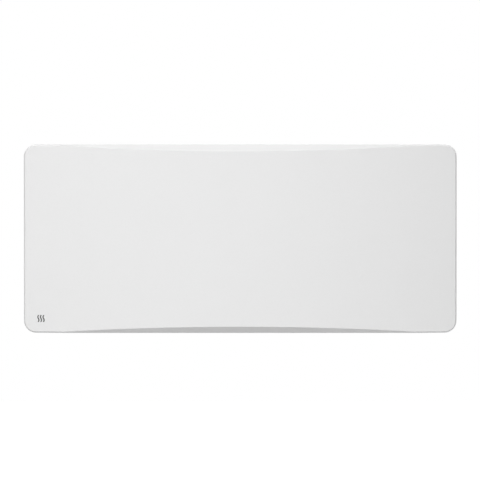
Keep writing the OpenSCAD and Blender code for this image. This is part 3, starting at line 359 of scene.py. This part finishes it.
def film_laminate():
    """Amber film with printed carbon tracks that run up and down"""
    made, tree, shader, place = start_material("heating film", IOR=1.5, Coat_Weight=0.4,
                                               Coat_Roughness=0.15)
    along = coordinate(tree, place, "X")
    stripe = maths(tree, "PINGPONG", maths(tree, "MULTIPLY", along, 90.0), 1.0)
    track = ramp(tree, stripe, 0.42, 0.5)
    skin = use_group(tree, GRAIN, place, Grain_per_metre=700.0, Swell_share=0.5)
    tone = mix_colour(tree, skin["Drift"], (0.50, 0.27, 0.05, 1), (0.60, 0.36, 0.09, 1))
    tone = mix_colour(tree, track, tone, (0.05, 0.045, 0.04, 1))
    connect(tree, shader, tone, between(tree, track, 0.22, 0.42), track, depth=0.03 * MM)
    return made


def smoked_window():
    """Clear plastic with a grey cast, faintly smeared"""
    made, tree, shader, place = start_material("smoked window", IOR=1.49, Transmission_Weight=0.92)
    skin = use_group(tree, GRAIN, place, Grain_per_metre=300.0, Swell_share=0.8)
    marks = use_group(tree, MARKS, place, Specks_per_metre=260.0)
    tone = mix_colour(tree, skin["Drift"], (0.66, 0.67, 0.69, 1), (0.72, 0.73, 0.75, 1))
    gloss = between(tree, marks["Smears"], 0.03, 0.09)
    connect(tree, shader, tone, gloss, skin["Height"], depth=0.002 * MM)
    return made


def display_glass():
    """Grey-green liquid crystal face with a faint grid behind it and a weak light"""
    made, tree, shader, place = start_material("display face", IOR=1.5, Coat_Weight=0.5,
                                               Coat_Roughness=0.05, Emission_Strength=0.35)
    along = coordinate(tree, place, "X")
    grid = maths(tree, "PINGPONG", maths(tree, "MULTIPLY", along, 1500.0), 1.0)
    skin = use_group(tree, GRAIN, place, Grain_per_metre=200.0, Swell_share=0.7)
    tone = mix_colour(tree, skin["Drift"], (0.42, 0.50, 0.43, 1), (0.47, 0.55, 0.47, 1))
    tone = tint(tree, tone, grid, 0.06, (0.2, 0.25, 0.2, 1))
    tree.links.new(tone, shader.inputs["Emission Color"])
    connect(tree, shader, tone, between(tree, skin["Height"], 0.18, 0.28))
    return made


def solder_mask():
    """Green board with copper tracks under the lacquer and tinned pads"""
    made, tree, shader, place = start_material("circuit board", IOR=1.55, Coat_Weight=0.6,
                                               Coat_Roughness=0.1)
    squares = add(tree, "ShaderNodeTexVoronoi", {"Vector": place, "Scale": 260.0},
                  distance="CHEBYCHEV").outputs["Distance"]
    pad = maths(tree, "LESS_THAN", squares, 0.16)
    diamonds = add(tree, "ShaderNodeTexVoronoi", {"Vector": place, "Scale": 170.0},
                   distance="MANHATTAN", feature="F2").outputs["Distance"]
    track = ramp(tree, diamonds, 0.62, 0.66)
    tone = mix_colour(tree, track, (0.012, 0.10, 0.045, 1), (0.03, 0.19, 0.085, 1))
    tone = mix_colour(tree, pad, tone, (0.62, 0.62, 0.60, 1))
    connect(tree, shader, tone, between(tree, pad, 0.32, 0.2), track, depth=0.03 * MM)
    return made


def board_parts():
    """Moulded components, yellow above a height of 50 mm and black below it"""
    made, tree, shader, place = start_material("board components", IOR=1.5)
    yellow = ramp(tree, coordinate(tree, place, "Z"), 45 * MM, 50 * MM)
    skin = use_group(tree, GRAIN, place, Grain_per_metre=1200.0, Swell_share=0.3)
    tone = mix_colour(tree, yellow, (0.035, 0.04, 0.06, 1), (0.62, 0.46, 0.06, 1))
    tone = tint(tree, tone, skin["Drift"], 0.2, grey(0.2))
    connect(tree, shader, tone, between(tree, skin["Height"], 0.25, 0.4), skin["Height"])
    return made


def nylon():
    """Natural nylon, which lets a little light in"""
    made, tree, shader, place = start_material("nylon", IOR=1.53, Subsurface_Weight=0.15,
                                               Subsurface_Scale=1 * MM)
    skin = use_group(tree, GRAIN, place, Grain_per_metre=1500.0, Swell_share=0.5)
    tone = mix_colour(tree, skin["Drift"], (0.66, 0.63, 0.55, 1), (0.75, 0.73, 0.66, 1))
    connect(tree, shader, tone, between(tree, skin["Height"], 0.36, 0.5), skin["Height"])
    return made


def insulation(name, low, high, rough=0.42):
    """Sleeve of a lead, slightly dull where it was pulled through"""
    made, tree, shader, place = start_material(name, IOR=1.5)
    skin = use_group(tree, GRAIN, place, Grain_per_metre=900.0, Swell_share=0.6)
    marks = use_group(tree, MARKS, place, Specks_per_metre=300.0)
    tone = mix_colour(tree, skin["Drift"], low, high)
    tone = tint(tree, tone, marks["Smears"], 0.15, grey(0.45))
    gloss = between(tree, skin["Height"], rough, rough + 0.14)
    connect(tree, shader, tone, gloss, skin["Height"], depth=0.03 * MM)
    return made


def ribbon_sleeve():
    """Grey flat cable with a valley between two wires, painted darker there as painted shade, and one red edge"""
    made, tree, shader, place = start_material("ribbon cable", IOR=1.5)
    pitch = 1.27 * MM
    first_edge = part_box("ribbon_cable")[0].x
    across = maths(tree, "SUBTRACT", coordinate(tree, place, "X"), first_edge)
    crown = ramp(tree, maths(tree, "PINGPONG", across, pitch / 2), 0.0, 0.4 * pitch)
    first_wire = maths(tree, "LESS_THAN", across, pitch)
    skin = use_group(tree, GRAIN, place, Grain_per_metre=1200.0, Swell_share=0.4)
    tone = mix_colour(tree, skin["Drift"], (0.44, 0.45, 0.47, 1), (0.52, 0.53, 0.55, 1))
    # Painted shade: the valleys between the wires are painted dark grey
    tone = mix_colour(tree, crown, grey(0.3), tone)
    tone = mix_colour(tree, first_wire, tone, (0.42, 0.03, 0.03, 1))
    connect(tree, shader, tone, between(tree, skin["Height"], 0.38, 0.5), crown, depth=0.3 * MM)
    return made


def printed_ink(name, tone):
    """A thin screen-printed layer with slightly ragged density"""
    made, tree, shader, place = start_material(name, IOR=1.45)
    skin = use_group(tree, GRAIN, place, Grain_per_metre=3000.0, Swell_share=0.3)
    ink = mix_colour(tree, skin["Height"], grey(tone * 0.9), grey(tone * 1.1))
    gloss = between(tree, skin["Height"], 0.45, 0.6)
    connect(tree, shader, ink, gloss, skin["Height"], depth=0.01 * MM)
    return made


# The finish of each material slot of the record
FINISH = {
    "panel_white": powder_coat("panel powder coat", tone=0.85, grain=900.0, rough=0.5, wear_reach=0.35),
    "casing_white": powder_coat("casing powder coat", tone=0.82, grain=700.0, rough=0.55, wear_reach=0.5),
    "galvanised": galvanised(),
    "bright_steel": drawn_metal("bright steel", (0.60, 0.60, 0.59, 1), (0.70, 0.70, 0.70, 1),
                                rough=0.28),
    "core_iron": cast_iron(),
    "element_steel": heater_tube(),
    "shield_aluminium": drawn_metal("shield aluminium", (0.76, 0.76, 0.77, 1),
                                    (0.84, 0.84, 0.85, 1), rough=0.26, across=(14.0, 900.0, 1100.0)),
    "white_plastic": moulded("white plastic", (0.80, 0.80, 0.795, 1), rough=0.42),
    "grey_plastic": moulded("grey plastic", (0.55, 0.55, 0.56, 1), rough=0.4),
    "black_plastic": moulded("black plastic", (0.035, 0.035, 0.037, 1), rough=0.38),
    "nylon": nylon(),
    "buffer_rubber": rubber("buffer rubber", (0.045, 0.045, 0.045, 1), rough=0.7),
    "silicone": rubber("red silicone", (0.42, 0.07, 0.04, 1), rough=0.55),
    "film_laminate": film_laminate(),
    "window_plastic": smoked_window(),
    "display_face": display_glass(),
    "board_green": solder_mask(),
    "supply_parts": board_parts(),
    "stud_brass": drawn_metal("brass", (0.62, 0.44, 0.17, 1), (0.72, 0.54, 0.24, 1), rough=0.25,
                              across=(60.0, 1500.0, 60.0)),
    "lead_insulation": insulation("white insulation", (0.66, 0.65, 0.62, 1), (0.76, 0.75, 0.72, 1)),
}
# Nodes that differ from the others in their slot
OWN_FINISH = {
    "mains_leads": insulation("brown insulation", (0.13, 0.05, 0.025, 1), (0.18, 0.075, 0.04, 1),
                              rough=0.36),
    "ribbon_cable": ribbon_sleeve(),
}
MARK_INK = printed_ink("grey ink", tone=0.11)
DARK_INK = printed_ink("dark ink", tone=0.05)
LIGHT_INK = printed_ink("light ink", tone=0.75)


# Mesh helpers

def finish_piece(bm, name, body, material, nodes=(), crisp=35):
    """Makes an object of the mesh, smooth but for edges sharper than crisp, riding on its body"""
    bmesh.ops.recalc_face_normals(bm, faces=bm.faces)
    mesh = bpy.data.meshes.new(name)
    bm.to_mesh(mesh)
    bm.free()
    mesh.materials.append(material)
    mesh.polygons.foreach_set("use_smooth", [True] * len(mesh.polygons))
    mesh.set_sharp_from_angle(angle=math.radians(crisp))
    piece = bpy.data.objects.new(name, mesh)
    bpy.context.scene.collection.objects.link(piece)
    weigh = piece.modifiers.new("even shading", "WEIGHTED_NORMAL")
    weigh.keep_sharp = True
    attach(piece, body)
    if nodes:
        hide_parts(*nodes)


def clean_copy(node):
    """The node's mesh with its doubled points joined and its flat faces whole"""
    bm = bmesh.new()
    bm.from_mesh(frame["nodes"][node].data)
    bmesh.ops.remove_doubles(bm, verts=bm.verts, dist=0.001 * MM)
    bmesh.ops.dissolve_limit(bm, angle_limit=math.radians(0.3), verts=bm.verts, edges=bm.edges)
    return bm


def sharp_edges(bm, angle):
    """Edges between two faces that meet at more than the angle, in degrees"""
    return [edge for edge in bm.edges
            if len(edge.link_faces) == 2 and edge.calc_face_angle(0) > math.radians(angle)]


def round_edges(bm, edges, radius, steps):
    """Rounds edges by a radius, or by less where the faces beside them are narrow"""
    bmesh.ops.bevel(bm, geom=edges, offset=radius, offset_type="OFFSET", segments=steps, profile=0.5,
                    affect="EDGES", clamp_overlap=True, loop_slide=True)


def rounded(node, radius):
    """Replaces a node with a copy whose sharp edges are rounded"""
    bm = clean_copy(node)
    round_edges(bm, sharp_edges(bm, angle=40), radius, steps=2)
    bmesh.ops.dissolve_degenerate(bm, dist=0.001 * MM, edges=bm.edges)
    slot = SLOT_OF[node]
    finish_piece(bm, node + "_rounded", BODY_OF[node], FINISH[slot], (node,))


def straight_line(bm, start, end, steps):
    """Two vertices with new ones evenly between them"""
    middle = [bm.verts.new(start.co.lerp(end.co, i / steps)) for i in range(1, steps)]
    return [start] + middle + [end]


def join_lines(bm, lines):
    """Faces between each line of vertices and the next"""
    for a, b in zip(lines, lines[1:]):
        for k in range(len(a) - 1):
            bm.faces.new((a[k], a[k + 1], b[k + 1], b[k]))


def arc(radius, start, end, steps, centre=(0.0, 0.0)):
    """Points of an arc between two angles in degrees"""
    turns = [math.radians(start + (end - start) * i / steps) for i in range(steps + 1)]
    return [(centre[0] + radius * math.cos(turn), centre[1] + radius * math.sin(turn))
            for turn in turns]


def stations(line, half_w, closed, round_ends):
    """Places along a stroke, each as a point, the way along and half the stroke's width there"""
    points = [Vector(point) for point in line]
    n = len(points)
    found = []
    for i, point in enumerate(points):
        before = points[i - 1] if i > 0 or closed else point
        after = points[(i + 1) % n] if i < n - 1 or closed else point
        found.append((point, (after - before).normalized(), half_w))
    if round_ends:
        turns = [math.radians(angle) for angle in (20, 40, 60, 80)]
        (first, out, _), (last, on, _) = found[0], found[-1]
        start = [(first - out * half_w * math.sin(turn), out, half_w * math.cos(turn))
                 for turn in reversed(turns)]
        end = [(last + on * half_w * math.sin(turn), on, half_w * math.cos(turn)) for turn in turns]
        found = start + found + end
    return found


def ribbon(bm, line, width, place, sunk, proud, closed=False, round_ends=False):
    """A printed stroke along a line of points, put on a surface by place(u, v, height), from a height
    just inside the surface to one just proud of it"""
    rails = []
    for point, along, half_w in stations(line, width / 2, closed, round_ends):
        across = Vector((-along.y, along.x)) * half_w
        rails.append([bm.verts.new(place(*(point + side * across), height))
                      for side, height in ((1, sunk), (1, proud), (-1, proud), (-1, sunk))])
    n = len(rails)
    for i in range(n if closed else n - 1):
        a, b = rails[i], rails[(i + 1) % n]
        for k in range(4):
            bm.faces.new((a[k], b[k], b[(k + 1) % 4], a[(k + 1) % 4]))
    if not closed:
        bm.faces.new(rails[0][::-1])
        bm.faces.new(rails[-1])


# Front panel: a bowed face with flat bevels above and below, a sloping band and a skirt

# Radius of the panel's corners and thickness of its sheet
CORNER_R = 29 * MM
SHEET_T = 1.2 * MM
# Radius of the face's bow, seen from above
BOW_R = 2200 * MM
# Least depth of the band round the face, and how far the band slopes in for each mm of its depth
BAND_D = 9.5 * MM
BAND_SLOPE = 0.34
# Half the length of the bevels, the stretches where the band goes deeper than that
BEVEL_HALF = 414 * MM
# Width of the break on both edges of the rim
RIM_EDGE = 0.25 * MM

panel_low, panel_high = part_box("front_panel")
CORNER_X = panel_high.x - CORNER_R
CORNER_Z = panel_high.z - CORNER_R
RIM_Y = panel_high.y


def face_y(x):
    """Place of the bowed face, which comes furthest into the room in the middle"""
    return BOW_R + panel_low.y - math.sqrt(BOW_R ** 2 - x * x)


# Outer edge of both bevels, which is straight although the face bows
BEVEL_Y = face_y(BEVEL_HALF) + BAND_D


def rounded_corner(before, corner, after, radius, steps):
    """Points of the arc that rounds a corner of a section line"""
    back, on = (before - corner).normalized(), (after - corner).normalized()
    half = back.angle(on) / 2
    reach = radius / math.tan(half)
    middle = corner + (back + on).normalized() * (radius / math.sin(half))
    first, last = corner + back * reach - middle, corner + on * reach - middle
    turn = first.angle(last)
    points = []
    for i in range(steps + 1):
        t = i / steps
        spoke = first * math.sin(turn * (1 - t)) + last * math.sin(turn * t)
        points.append(middle + spoke / math.sin(turn))
    return points


def panel_columns():
    """Columns of the upper outline from left to right, each as the x it turns about and its lean"""
    corner_steps, side_steps, bow_steps = 14, 5, 96
    side_run = CORNER_X - BEVEL_HALF
    quarter = math.pi / 2
    columns = [(-CORNER_X, -quarter + quarter * i / corner_steps) for i in range(corner_steps)]
    columns += [(-CORNER_X + side_run * i / side_steps, 0.0) for i in range(side_steps)]
    columns += [(-BEVEL_HALF + 2 * BEVEL_HALF * i / bow_steps, 0.0) for i in range(bow_steps)]
    columns += [(BEVEL_HALF + side_run * i / side_steps, 0.0) for i in range(side_steps)]
    columns += [(CORNER_X, quarter * i / corner_steps) for i in range(corner_steps + 1)]
    return columns


def panel_section(column):
    """Section of the outer skin at a column, as (distance inside the outline, y), from rim to face"""
    centre_x, lean = column
    band_r, crease_r, beyond = 4 * MM, 0.9 * MM, 3 * MM

    def on_face(inside):
        return Vector((inside, face_y(centre_x + (CORNER_R - inside) * math.sin(lean))))

    front_y = face_y(centre_x + CORNER_R * math.sin(lean))
    edge_y = max(BEVEL_Y, front_y + BAND_D)
    fall = BAND_SLOPE * (edge_y - front_y)
    rim, edge, crease = Vector((0.0, RIM_Y)), Vector((0.0, edge_y)), on_face(fall)
    slope_middle = (edge + crease) / 2
    face = on_face(fall + beyond)
    return ([Vector((0.0, RIM_Y - RIM_EDGE)), Vector((0.0, (RIM_Y + edge_y) / 2))]
            + rounded_corner(rim, edge, slope_middle, band_r, steps=4) + [slope_middle]
            + rounded_corner(slope_middle, crease, face, crease_r, steps=7) + [face])


def panel_ring(bm, column, side):
    """Vertices of the whole section at a column of the upper or lower outline, from back to face"""
    centre_x, lean = column
    outer = panel_section(column)
    back = Vector((outer[-1].x, outer[-1].y + SHEET_T))
    inner = [Vector((SHEET_T, outer[3].y)), Vector((SHEET_T, RIM_Y - RIM_EDGE)),
             Vector((SHEET_T - RIM_EDGE, RIM_Y)), Vector((RIM_EDGE, RIM_Y))]
    ring = []
    for point in [back] + inner + outer:
        reach = CORNER_R - point.x
        ring.append(bm.verts.new((centre_x + reach * math.sin(lean), point.y,
                                  side * (CORNER_Z + reach * math.cos(lean)))))
    return ring


def front_panel():
    """The upper and lower edges, then both sides in rows, then the face and its back in those rows"""
    rows = 24
    columns = panel_columns()
    bm = bmesh.new()
    upper = [panel_ring(bm, column, 1) for column in columns]
    lower = [panel_ring(bm, column, -1) for column in columns]
    join_lines(bm, upper)
    join_lines(bm, lower[::-1])
    for above, below in ((upper[0], lower[0]), (upper[-1], lower[-1])):
        join_lines(bm, [straight_line(bm, a, b, rows) for a, b in zip(above, below)])
    for skin in (0, -1):
        join_lines(bm, [straight_line(bm, a[skin], b[skin], rows) for a, b in zip(upper, lower)])
    bmesh.ops.remove_doubles(bm, verts=bm.verts, dist=0.0001 * MM)
    finish_piece(bm, "front_shell", "radiator", FINISH["panel_white"],
                 ("front_panel",), crisp=60)


def heat_mark():
    """Three rising waves, printed at the lower left of the face"""
    centre_x, centre_z = panel_low.x + 41.6 * MM, panel_low.z + 34.4 * MM
    pitch, high, swing, stroke = 6.3 * MM, 14.2 * MM, 1.3 * MM, 3.0 * MM
    sunk, proud = -0.03 * MM, 0.06 * MM
    steps = 24

    def on_face(u, v, height):
        return Vector((u, face_y(u) - height, v))

    bm = bmesh.new()
    for wave in (-1, 0, 1):
        line = [(centre_x + wave * pitch + swing * math.sin(2 * math.pi * i / steps),
                 centre_z - high / 2 + high * i / steps) for i in range(steps + 1)]
        ribbon(bm, line, stroke, on_face, sunk, proud, round_ends=True)
    finish_piece(bm, "heat_mark", "radiator", MARK_INK)


# Symbols on the keys, the display and the rocker

def on_top_of(node):
    """Puts a stroke on the middle of a node's top"""
    low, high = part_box(node)
    middle = Vector(((low.x + high.x) / 2, (low.y + high.y) / 2, high.z))
    return lambda u, v, height: middle + Vector((u, v, height))


def key_symbol(name, strokes):
    """Symbol printed on the top of a key, from strokes of (line, closed)"""
    stroke, sunk, proud = 0.42 * MM, -0.02 * MM, 0.03 * MM
    place = on_top_of("key_" + name)
    bm = bmesh.new()
    for line, closed in strokes:
        ribbon(bm, line, stroke, place, sunk, proud, closed, round_ends=not closed)
    finish_piece(bm, name + "_symbol", name + "_key", DARK_INK)


def symbols():
    """A broken ring with a bar, a sun, a minus, a plus and a tick"""
    r = 1.6 * MM
    broken_ring = arc(r, 125, 415, 30)
    bar = [(0.0, 0.1 * MM), (0.0, 1.25 * r)]
    dash = [(-r, 0.0), (r, 0.0)]
    upright = [(0.0, -r), (0.0, r)]
    tick = [(-1.5 * MM, 0.1 * MM), (-0.4 * MM, -1.1 * MM), (1.7 * MM, 1.3 * MM)]
    disc_r, ray_start, ray_end = 0.9 * MM, 1.45 * MM, 2.1 * MM
    sun = [(arc(disc_r, 0, 360, 24)[:-1], True)]
    for ray in range(8):
        c, s = math.cos(ray * math.pi / 4), math.sin(ray * math.pi / 4)
        sun.append(([(ray_start * c, ray_start * s), (ray_end * c, ray_end * s)], False))
    key_symbol("power", [(broken_ring, False), (bar, False)])
    key_symbol("mode", sun)
    key_symbol("minus", [(dash, False)])
    key_symbol("plus", [(dash, False), (upright, False)])
    key_symbol("ok", [(tick, False)])


# Ends of the segments, in cells from the digit's lower left corner, and the segments of each digit
SEGMENTS = {"a": ((0, 2), (1, 2)), "b": ((1, 1), (1, 2)), "c": ((1, 0), (1, 1)), "d": ((0, 0), (1, 0)),
            "e": ((0, 0), (0, 1)), "f": ((0, 1), (0, 2)), "g": ((0, 1), (1, 1))}
DIGITS = {"2": "abged", "1": "bc", "5": "afgcd"}


def display_digits():
    """A temperature in seven-segment digits on the display's face"""
    place = on_top_of("lcd_module")
    cell, spacing, gap, slant, stroke = 3.0 * MM, 5.4 * MM, 0.28 * MM, 0.12, 0.62 * MM
    dot_back, dot_half = 1.6 * MM, 0.3 * MM
    degree_r, degree_gap, degree_stroke = 0.8 * MM, 0.4 * MM, 0.35 * MM
    sunk, proud = -0.02 * MM, 0.06 * MM
    left = -9.0 * MM

    def in_cells(corner):
        v = (corner[1] - 1) * cell
        return Vector((left + corner[0] * cell + slant * v, v))

    bm = bmesh.new()
    for digit in "215":
        for name in DIGITS[digit]:
            start, end = (in_cells(corner) for corner in SEGMENTS[name])
            cut = (end - start).normalized() * gap
            ribbon(bm, [start + cut, end - cut], stroke, place, sunk, proud)
        left += spacing
        if digit == "1":
            dot_x = left - dot_back
            dot = [(dot_x, -cell - dot_half), (dot_x, -cell + dot_half)]
            ribbon(bm, dot, 2 * dot_half, place, sunk, proud)
    degree = arc(degree_r, 0, 360, 20, (left + degree_gap, 0.75 * cell))[:-1]
    ribbon(bm, degree, degree_stroke, place, sunk, proud, closed=True)
    finish_piece(bm, "display_digits", "radiator", DARK_INK)


def rocker_symbols():
    """A bar and a ring on the two wings of the mains rocker, which leans half its swing at rest"""
    joint = next(j for j in frame["joints"] if j["name"] == "rocker_tilt")
    hub = Vector(joint["pos_m"])
    wing_end, wing_rise, saddle = 7.4 * MM, 1.4 * MM, 4.6 * MM
    slope = math.atan(wing_rise / wing_end)
    lean = math.radians(-10)
    bar_half, bar_stroke, ring_r, ring_stroke = 2.0 * MM, 0.6 * MM, 1.7 * MM, 0.55 * MM
    sunk, proud = -0.02 * MM, 0.04 * MM

    def wing(side):
        def place(u, v, height):
            along = wing_end / 2 + side * u
            across = side * (along * math.cos(slope) - height * math.sin(slope))
            out = saddle + along * math.sin(slope) + height * math.cos(slope)
            return hub + Vector((across * math.cos(lean) - out * math.sin(lean), v,
                                 -across * math.sin(lean) - out * math.cos(lean)))
        return place

    bm = bmesh.new()
    ribbon(bm, [(0.0, -bar_half), (0.0, bar_half)], bar_stroke, wing(-1), sunk, proud)
    ribbon(bm, arc(ring_r, 0, 360, 28)[:-1], ring_stroke, wing(1), sunk, proud, closed=True)
    finish_piece(bm, "rocker_symbols", "rocker", LIGHT_INK)


def rear_casing():
    """The casing with its back pressed over a round edge"""
    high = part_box("back_casing")[1]
    corner_r, near, press_r = 27.6 * MM, 0.1 * MM, 1.6 * MM

    def on_outline(vertex):
        at_back = abs(vertex.co.y - high.y) < near
        beside = abs(vertex.co.x) > high.x - corner_r
        above = abs(abs(vertex.co.z) - high.z) < near
        return at_back and (beside or above)

    bm = clean_copy("back_casing")
    outline = [edge for edge in sharp_edges(bm, angle=60) if all(on_outline(v) for v in edge.verts)]
    round_edges(bm, outline, press_r, steps=5)
    finish_piece(bm, "rear_casing", "radiator", FINISH["casing_white"],
                 ("back_casing",), crisp=40)


# Radius of the rounded edges of each piece, in mm
EDGE_RADIUS = {
    "wall_bracket": 0.35, "hinge_saddles": 0.2, "catch_rivets": 0.35, "hinge_pins": 0.4,
    "catch_pins": 0.4, "pin_ears": 0.3, "wall_buffers": 1.0, "panel_screws": 0.25,
    "top_grille": 0.35, "intake_grille": 0.35, "control_housing": 0.3, "display_window": 0.12,
    "status_light": 0.4, "service_panel": 0.35, "switch_body": 0.3, "switch_rocker": 0.3,
    "room_probe": 0.2, "cable_gland": 0.4, "gland_nut": 0.4, "earth_stud": 0.3,
    "key_power": 0.35, "key_mode": 0.35, "key_minus": 0.35, "key_plus": 0.35, "key_ok": 0.35,
}

front_panel()
heat_mark()
rear_casing()
for node, radius in EDGE_RADIUS.items():
    rounded(node, radius * MM)
symbols()
display_digits()
rocker_symbols()
for node, piece in frame["nodes"].items():
    piece.data.materials.clear()
    piece.data.materials.append(OWN_FINISH.get(node, FINISH[SLOT_OF[node]]))


# Stage: white surroundings, a pale floor below the camera's view, soft lamps and the camera

def seen_directly(tree):
    """1 for camera, glossy and transmission rays"""
    path = add(tree, "ShaderNodeLightPath").outputs
    some = maths(tree, "MAXIMUM", path["Is Camera Ray"], path["Is Glossy Ray"])
    return maths(tree, "MAXIMUM", some, path["Is Transmission Ray"])


def surroundings(strength):
    """A soft even light that looks white where it is seen"""
    world = bpy.data.worlds.new("studio")
    world.use_nodes = True
    bpy.context.scene.world = world
    tree = world.node_tree
    tree.nodes.clear()
    soft = add(tree, "ShaderNodeBackground", {"Color": grey(1.0), "Strength": strength})
    white = add(tree, "ShaderNodeBackground", {"Color": grey(1.0), "Strength": 1.0})
    both = add(tree, "ShaderNodeMixShader", {0: seen_directly(tree), 1: soft.outputs[0],
                                             2: white.outputs[0]})
    add(tree, "ShaderNodeOutputWorld", {"Surface": both.outputs[0]})


def floor_paint(tone, lift):
    """Matt paint that the camera sees lifted to white where no shadow falls, and not from below"""
    made, tree, shader, place = start_material("pale floor", Roughness=0.9, Specular_IOR_Level=0.0,
                                               Emission_Strength=lift)
    skin = use_group(tree, GRAIN, place, Grain_per_metre=40.0, Swell_share=0.5)
    paint = mix_colour(tree, skin["Drift"], grey(tone * 0.99), grey(tone * 1.01))
    glow = mix_colour(tree, seen_directly(tree), grey(0.0), grey(1.0))
    tree.links.new(paint, shader.inputs["Base Color"])
    tree.links.new(glow, shader.inputs["Emission Color"])
    clear = add(tree, "ShaderNodeBsdfTransparent")
    below = add(tree, "ShaderNodeNewGeometry").outputs["Backfacing"]
    both = add(tree, "ShaderNodeMixShader", {0: below, 1: shader.outputs[0], 2: clear.outputs[0]})
    tree.links.new(both.outputs[0], tree.nodes["Material Output"].inputs["Surface"])
    return made


def pale_floor():
    """A level floor well below the radiator, which takes its shadow"""
    drop, half_w = 0.75, 6.0
    bm = bmesh.new()
    bmesh.ops.create_grid(bm, x_segments=24, y_segments=24, size=half_w)
    mesh = bpy.data.meshes.new("floor")
    bm.to_mesh(mesh)
    bm.free()
    mesh.materials.append(floor_paint(tone=0.5, lift=0.72))
    floor = bpy.data.objects.new("floor", mesh)
    floor.location = (0.0, 0.0, -drop)
    bpy.context.scene.collection.objects.link(floor)


def aim(holder, place, target):
    """Puts a lamp or the camera at its place, turned to the target"""
    holder.location = place
    holder.rotation_mode = "QUATERNION"
    holder.rotation_quaternion = (Vector(target) - Vector(place)).to_track_quat("-Z", "Y")
    bpy.context.scene.collection.objects.link(holder)


def soft_lamp(name, place, size, power):
    """An area lamp that faces the radiator's centre"""
    lamp = bpy.data.lights.new(name, "AREA")
    lamp.shape = "RECTANGLE"
    lamp.size, lamp.size_y = size
    lamp.energy = power
    holder = bpy.data.objects.new(name, lamp)
    holder.visible_camera = False
    aim(holder, place, (0.0, 0.0, 0.0))


def camera():
    """Long lens, almost level, as far away as the photograph's perspective asks"""
    # Side of the picture in pixels, and how far its middle lies from the radiator's
    picture, left, down = 480, 0.25, 1.3
    # Width of the picture at the camera's target, and how high the camera is above the target
    picture_w, distance, rise = 1145.4 * MM, 10.0, 0.2
    target = Vector((0.0, -77.7 * MM, 0.0))
    lens = bpy.data.cameras.new("camera")
    lens.sensor_width = 36.0
    lens.lens = lens.sensor_width * distance / picture_w
    lens.shift_x, lens.shift_y = -left / picture, -down / picture
    lens.clip_end = 100.0
    holder = bpy.data.objects.new("camera", lens)
    aim(holder, target + Vector((0.0, -distance, rise)), target)
    bpy.context.scene.camera = holder


# The lamps give the face, the band and the bevels their tones in the photograph
surroundings(strength=0.195)
pale_floor()
soft_lamp("left lamp", place=(-4.5, -3.5, 1.2), size=(2.0, 2.4), power=78.7)
soft_lamp("right lamp", place=(3.6, -3.0, 0.6), size=(2.0, 2.0), power=27.6)
soft_lamp("top lamp", place=(-0.5, -1.2, 3.6), size=(3.0, 2.0), power=73.3)
soft_lamp("low front lamp", place=(0.0, -4.0, -0.4), size=(4.0, 0.5), power=48.7)
soft_lamp("rear lamp", place=(0.5, 6.5, 2.6), size=(8.0, 5.0), power=250.0)
camera()
bpy.context.scene.view_settings.view_transform = "Standard"
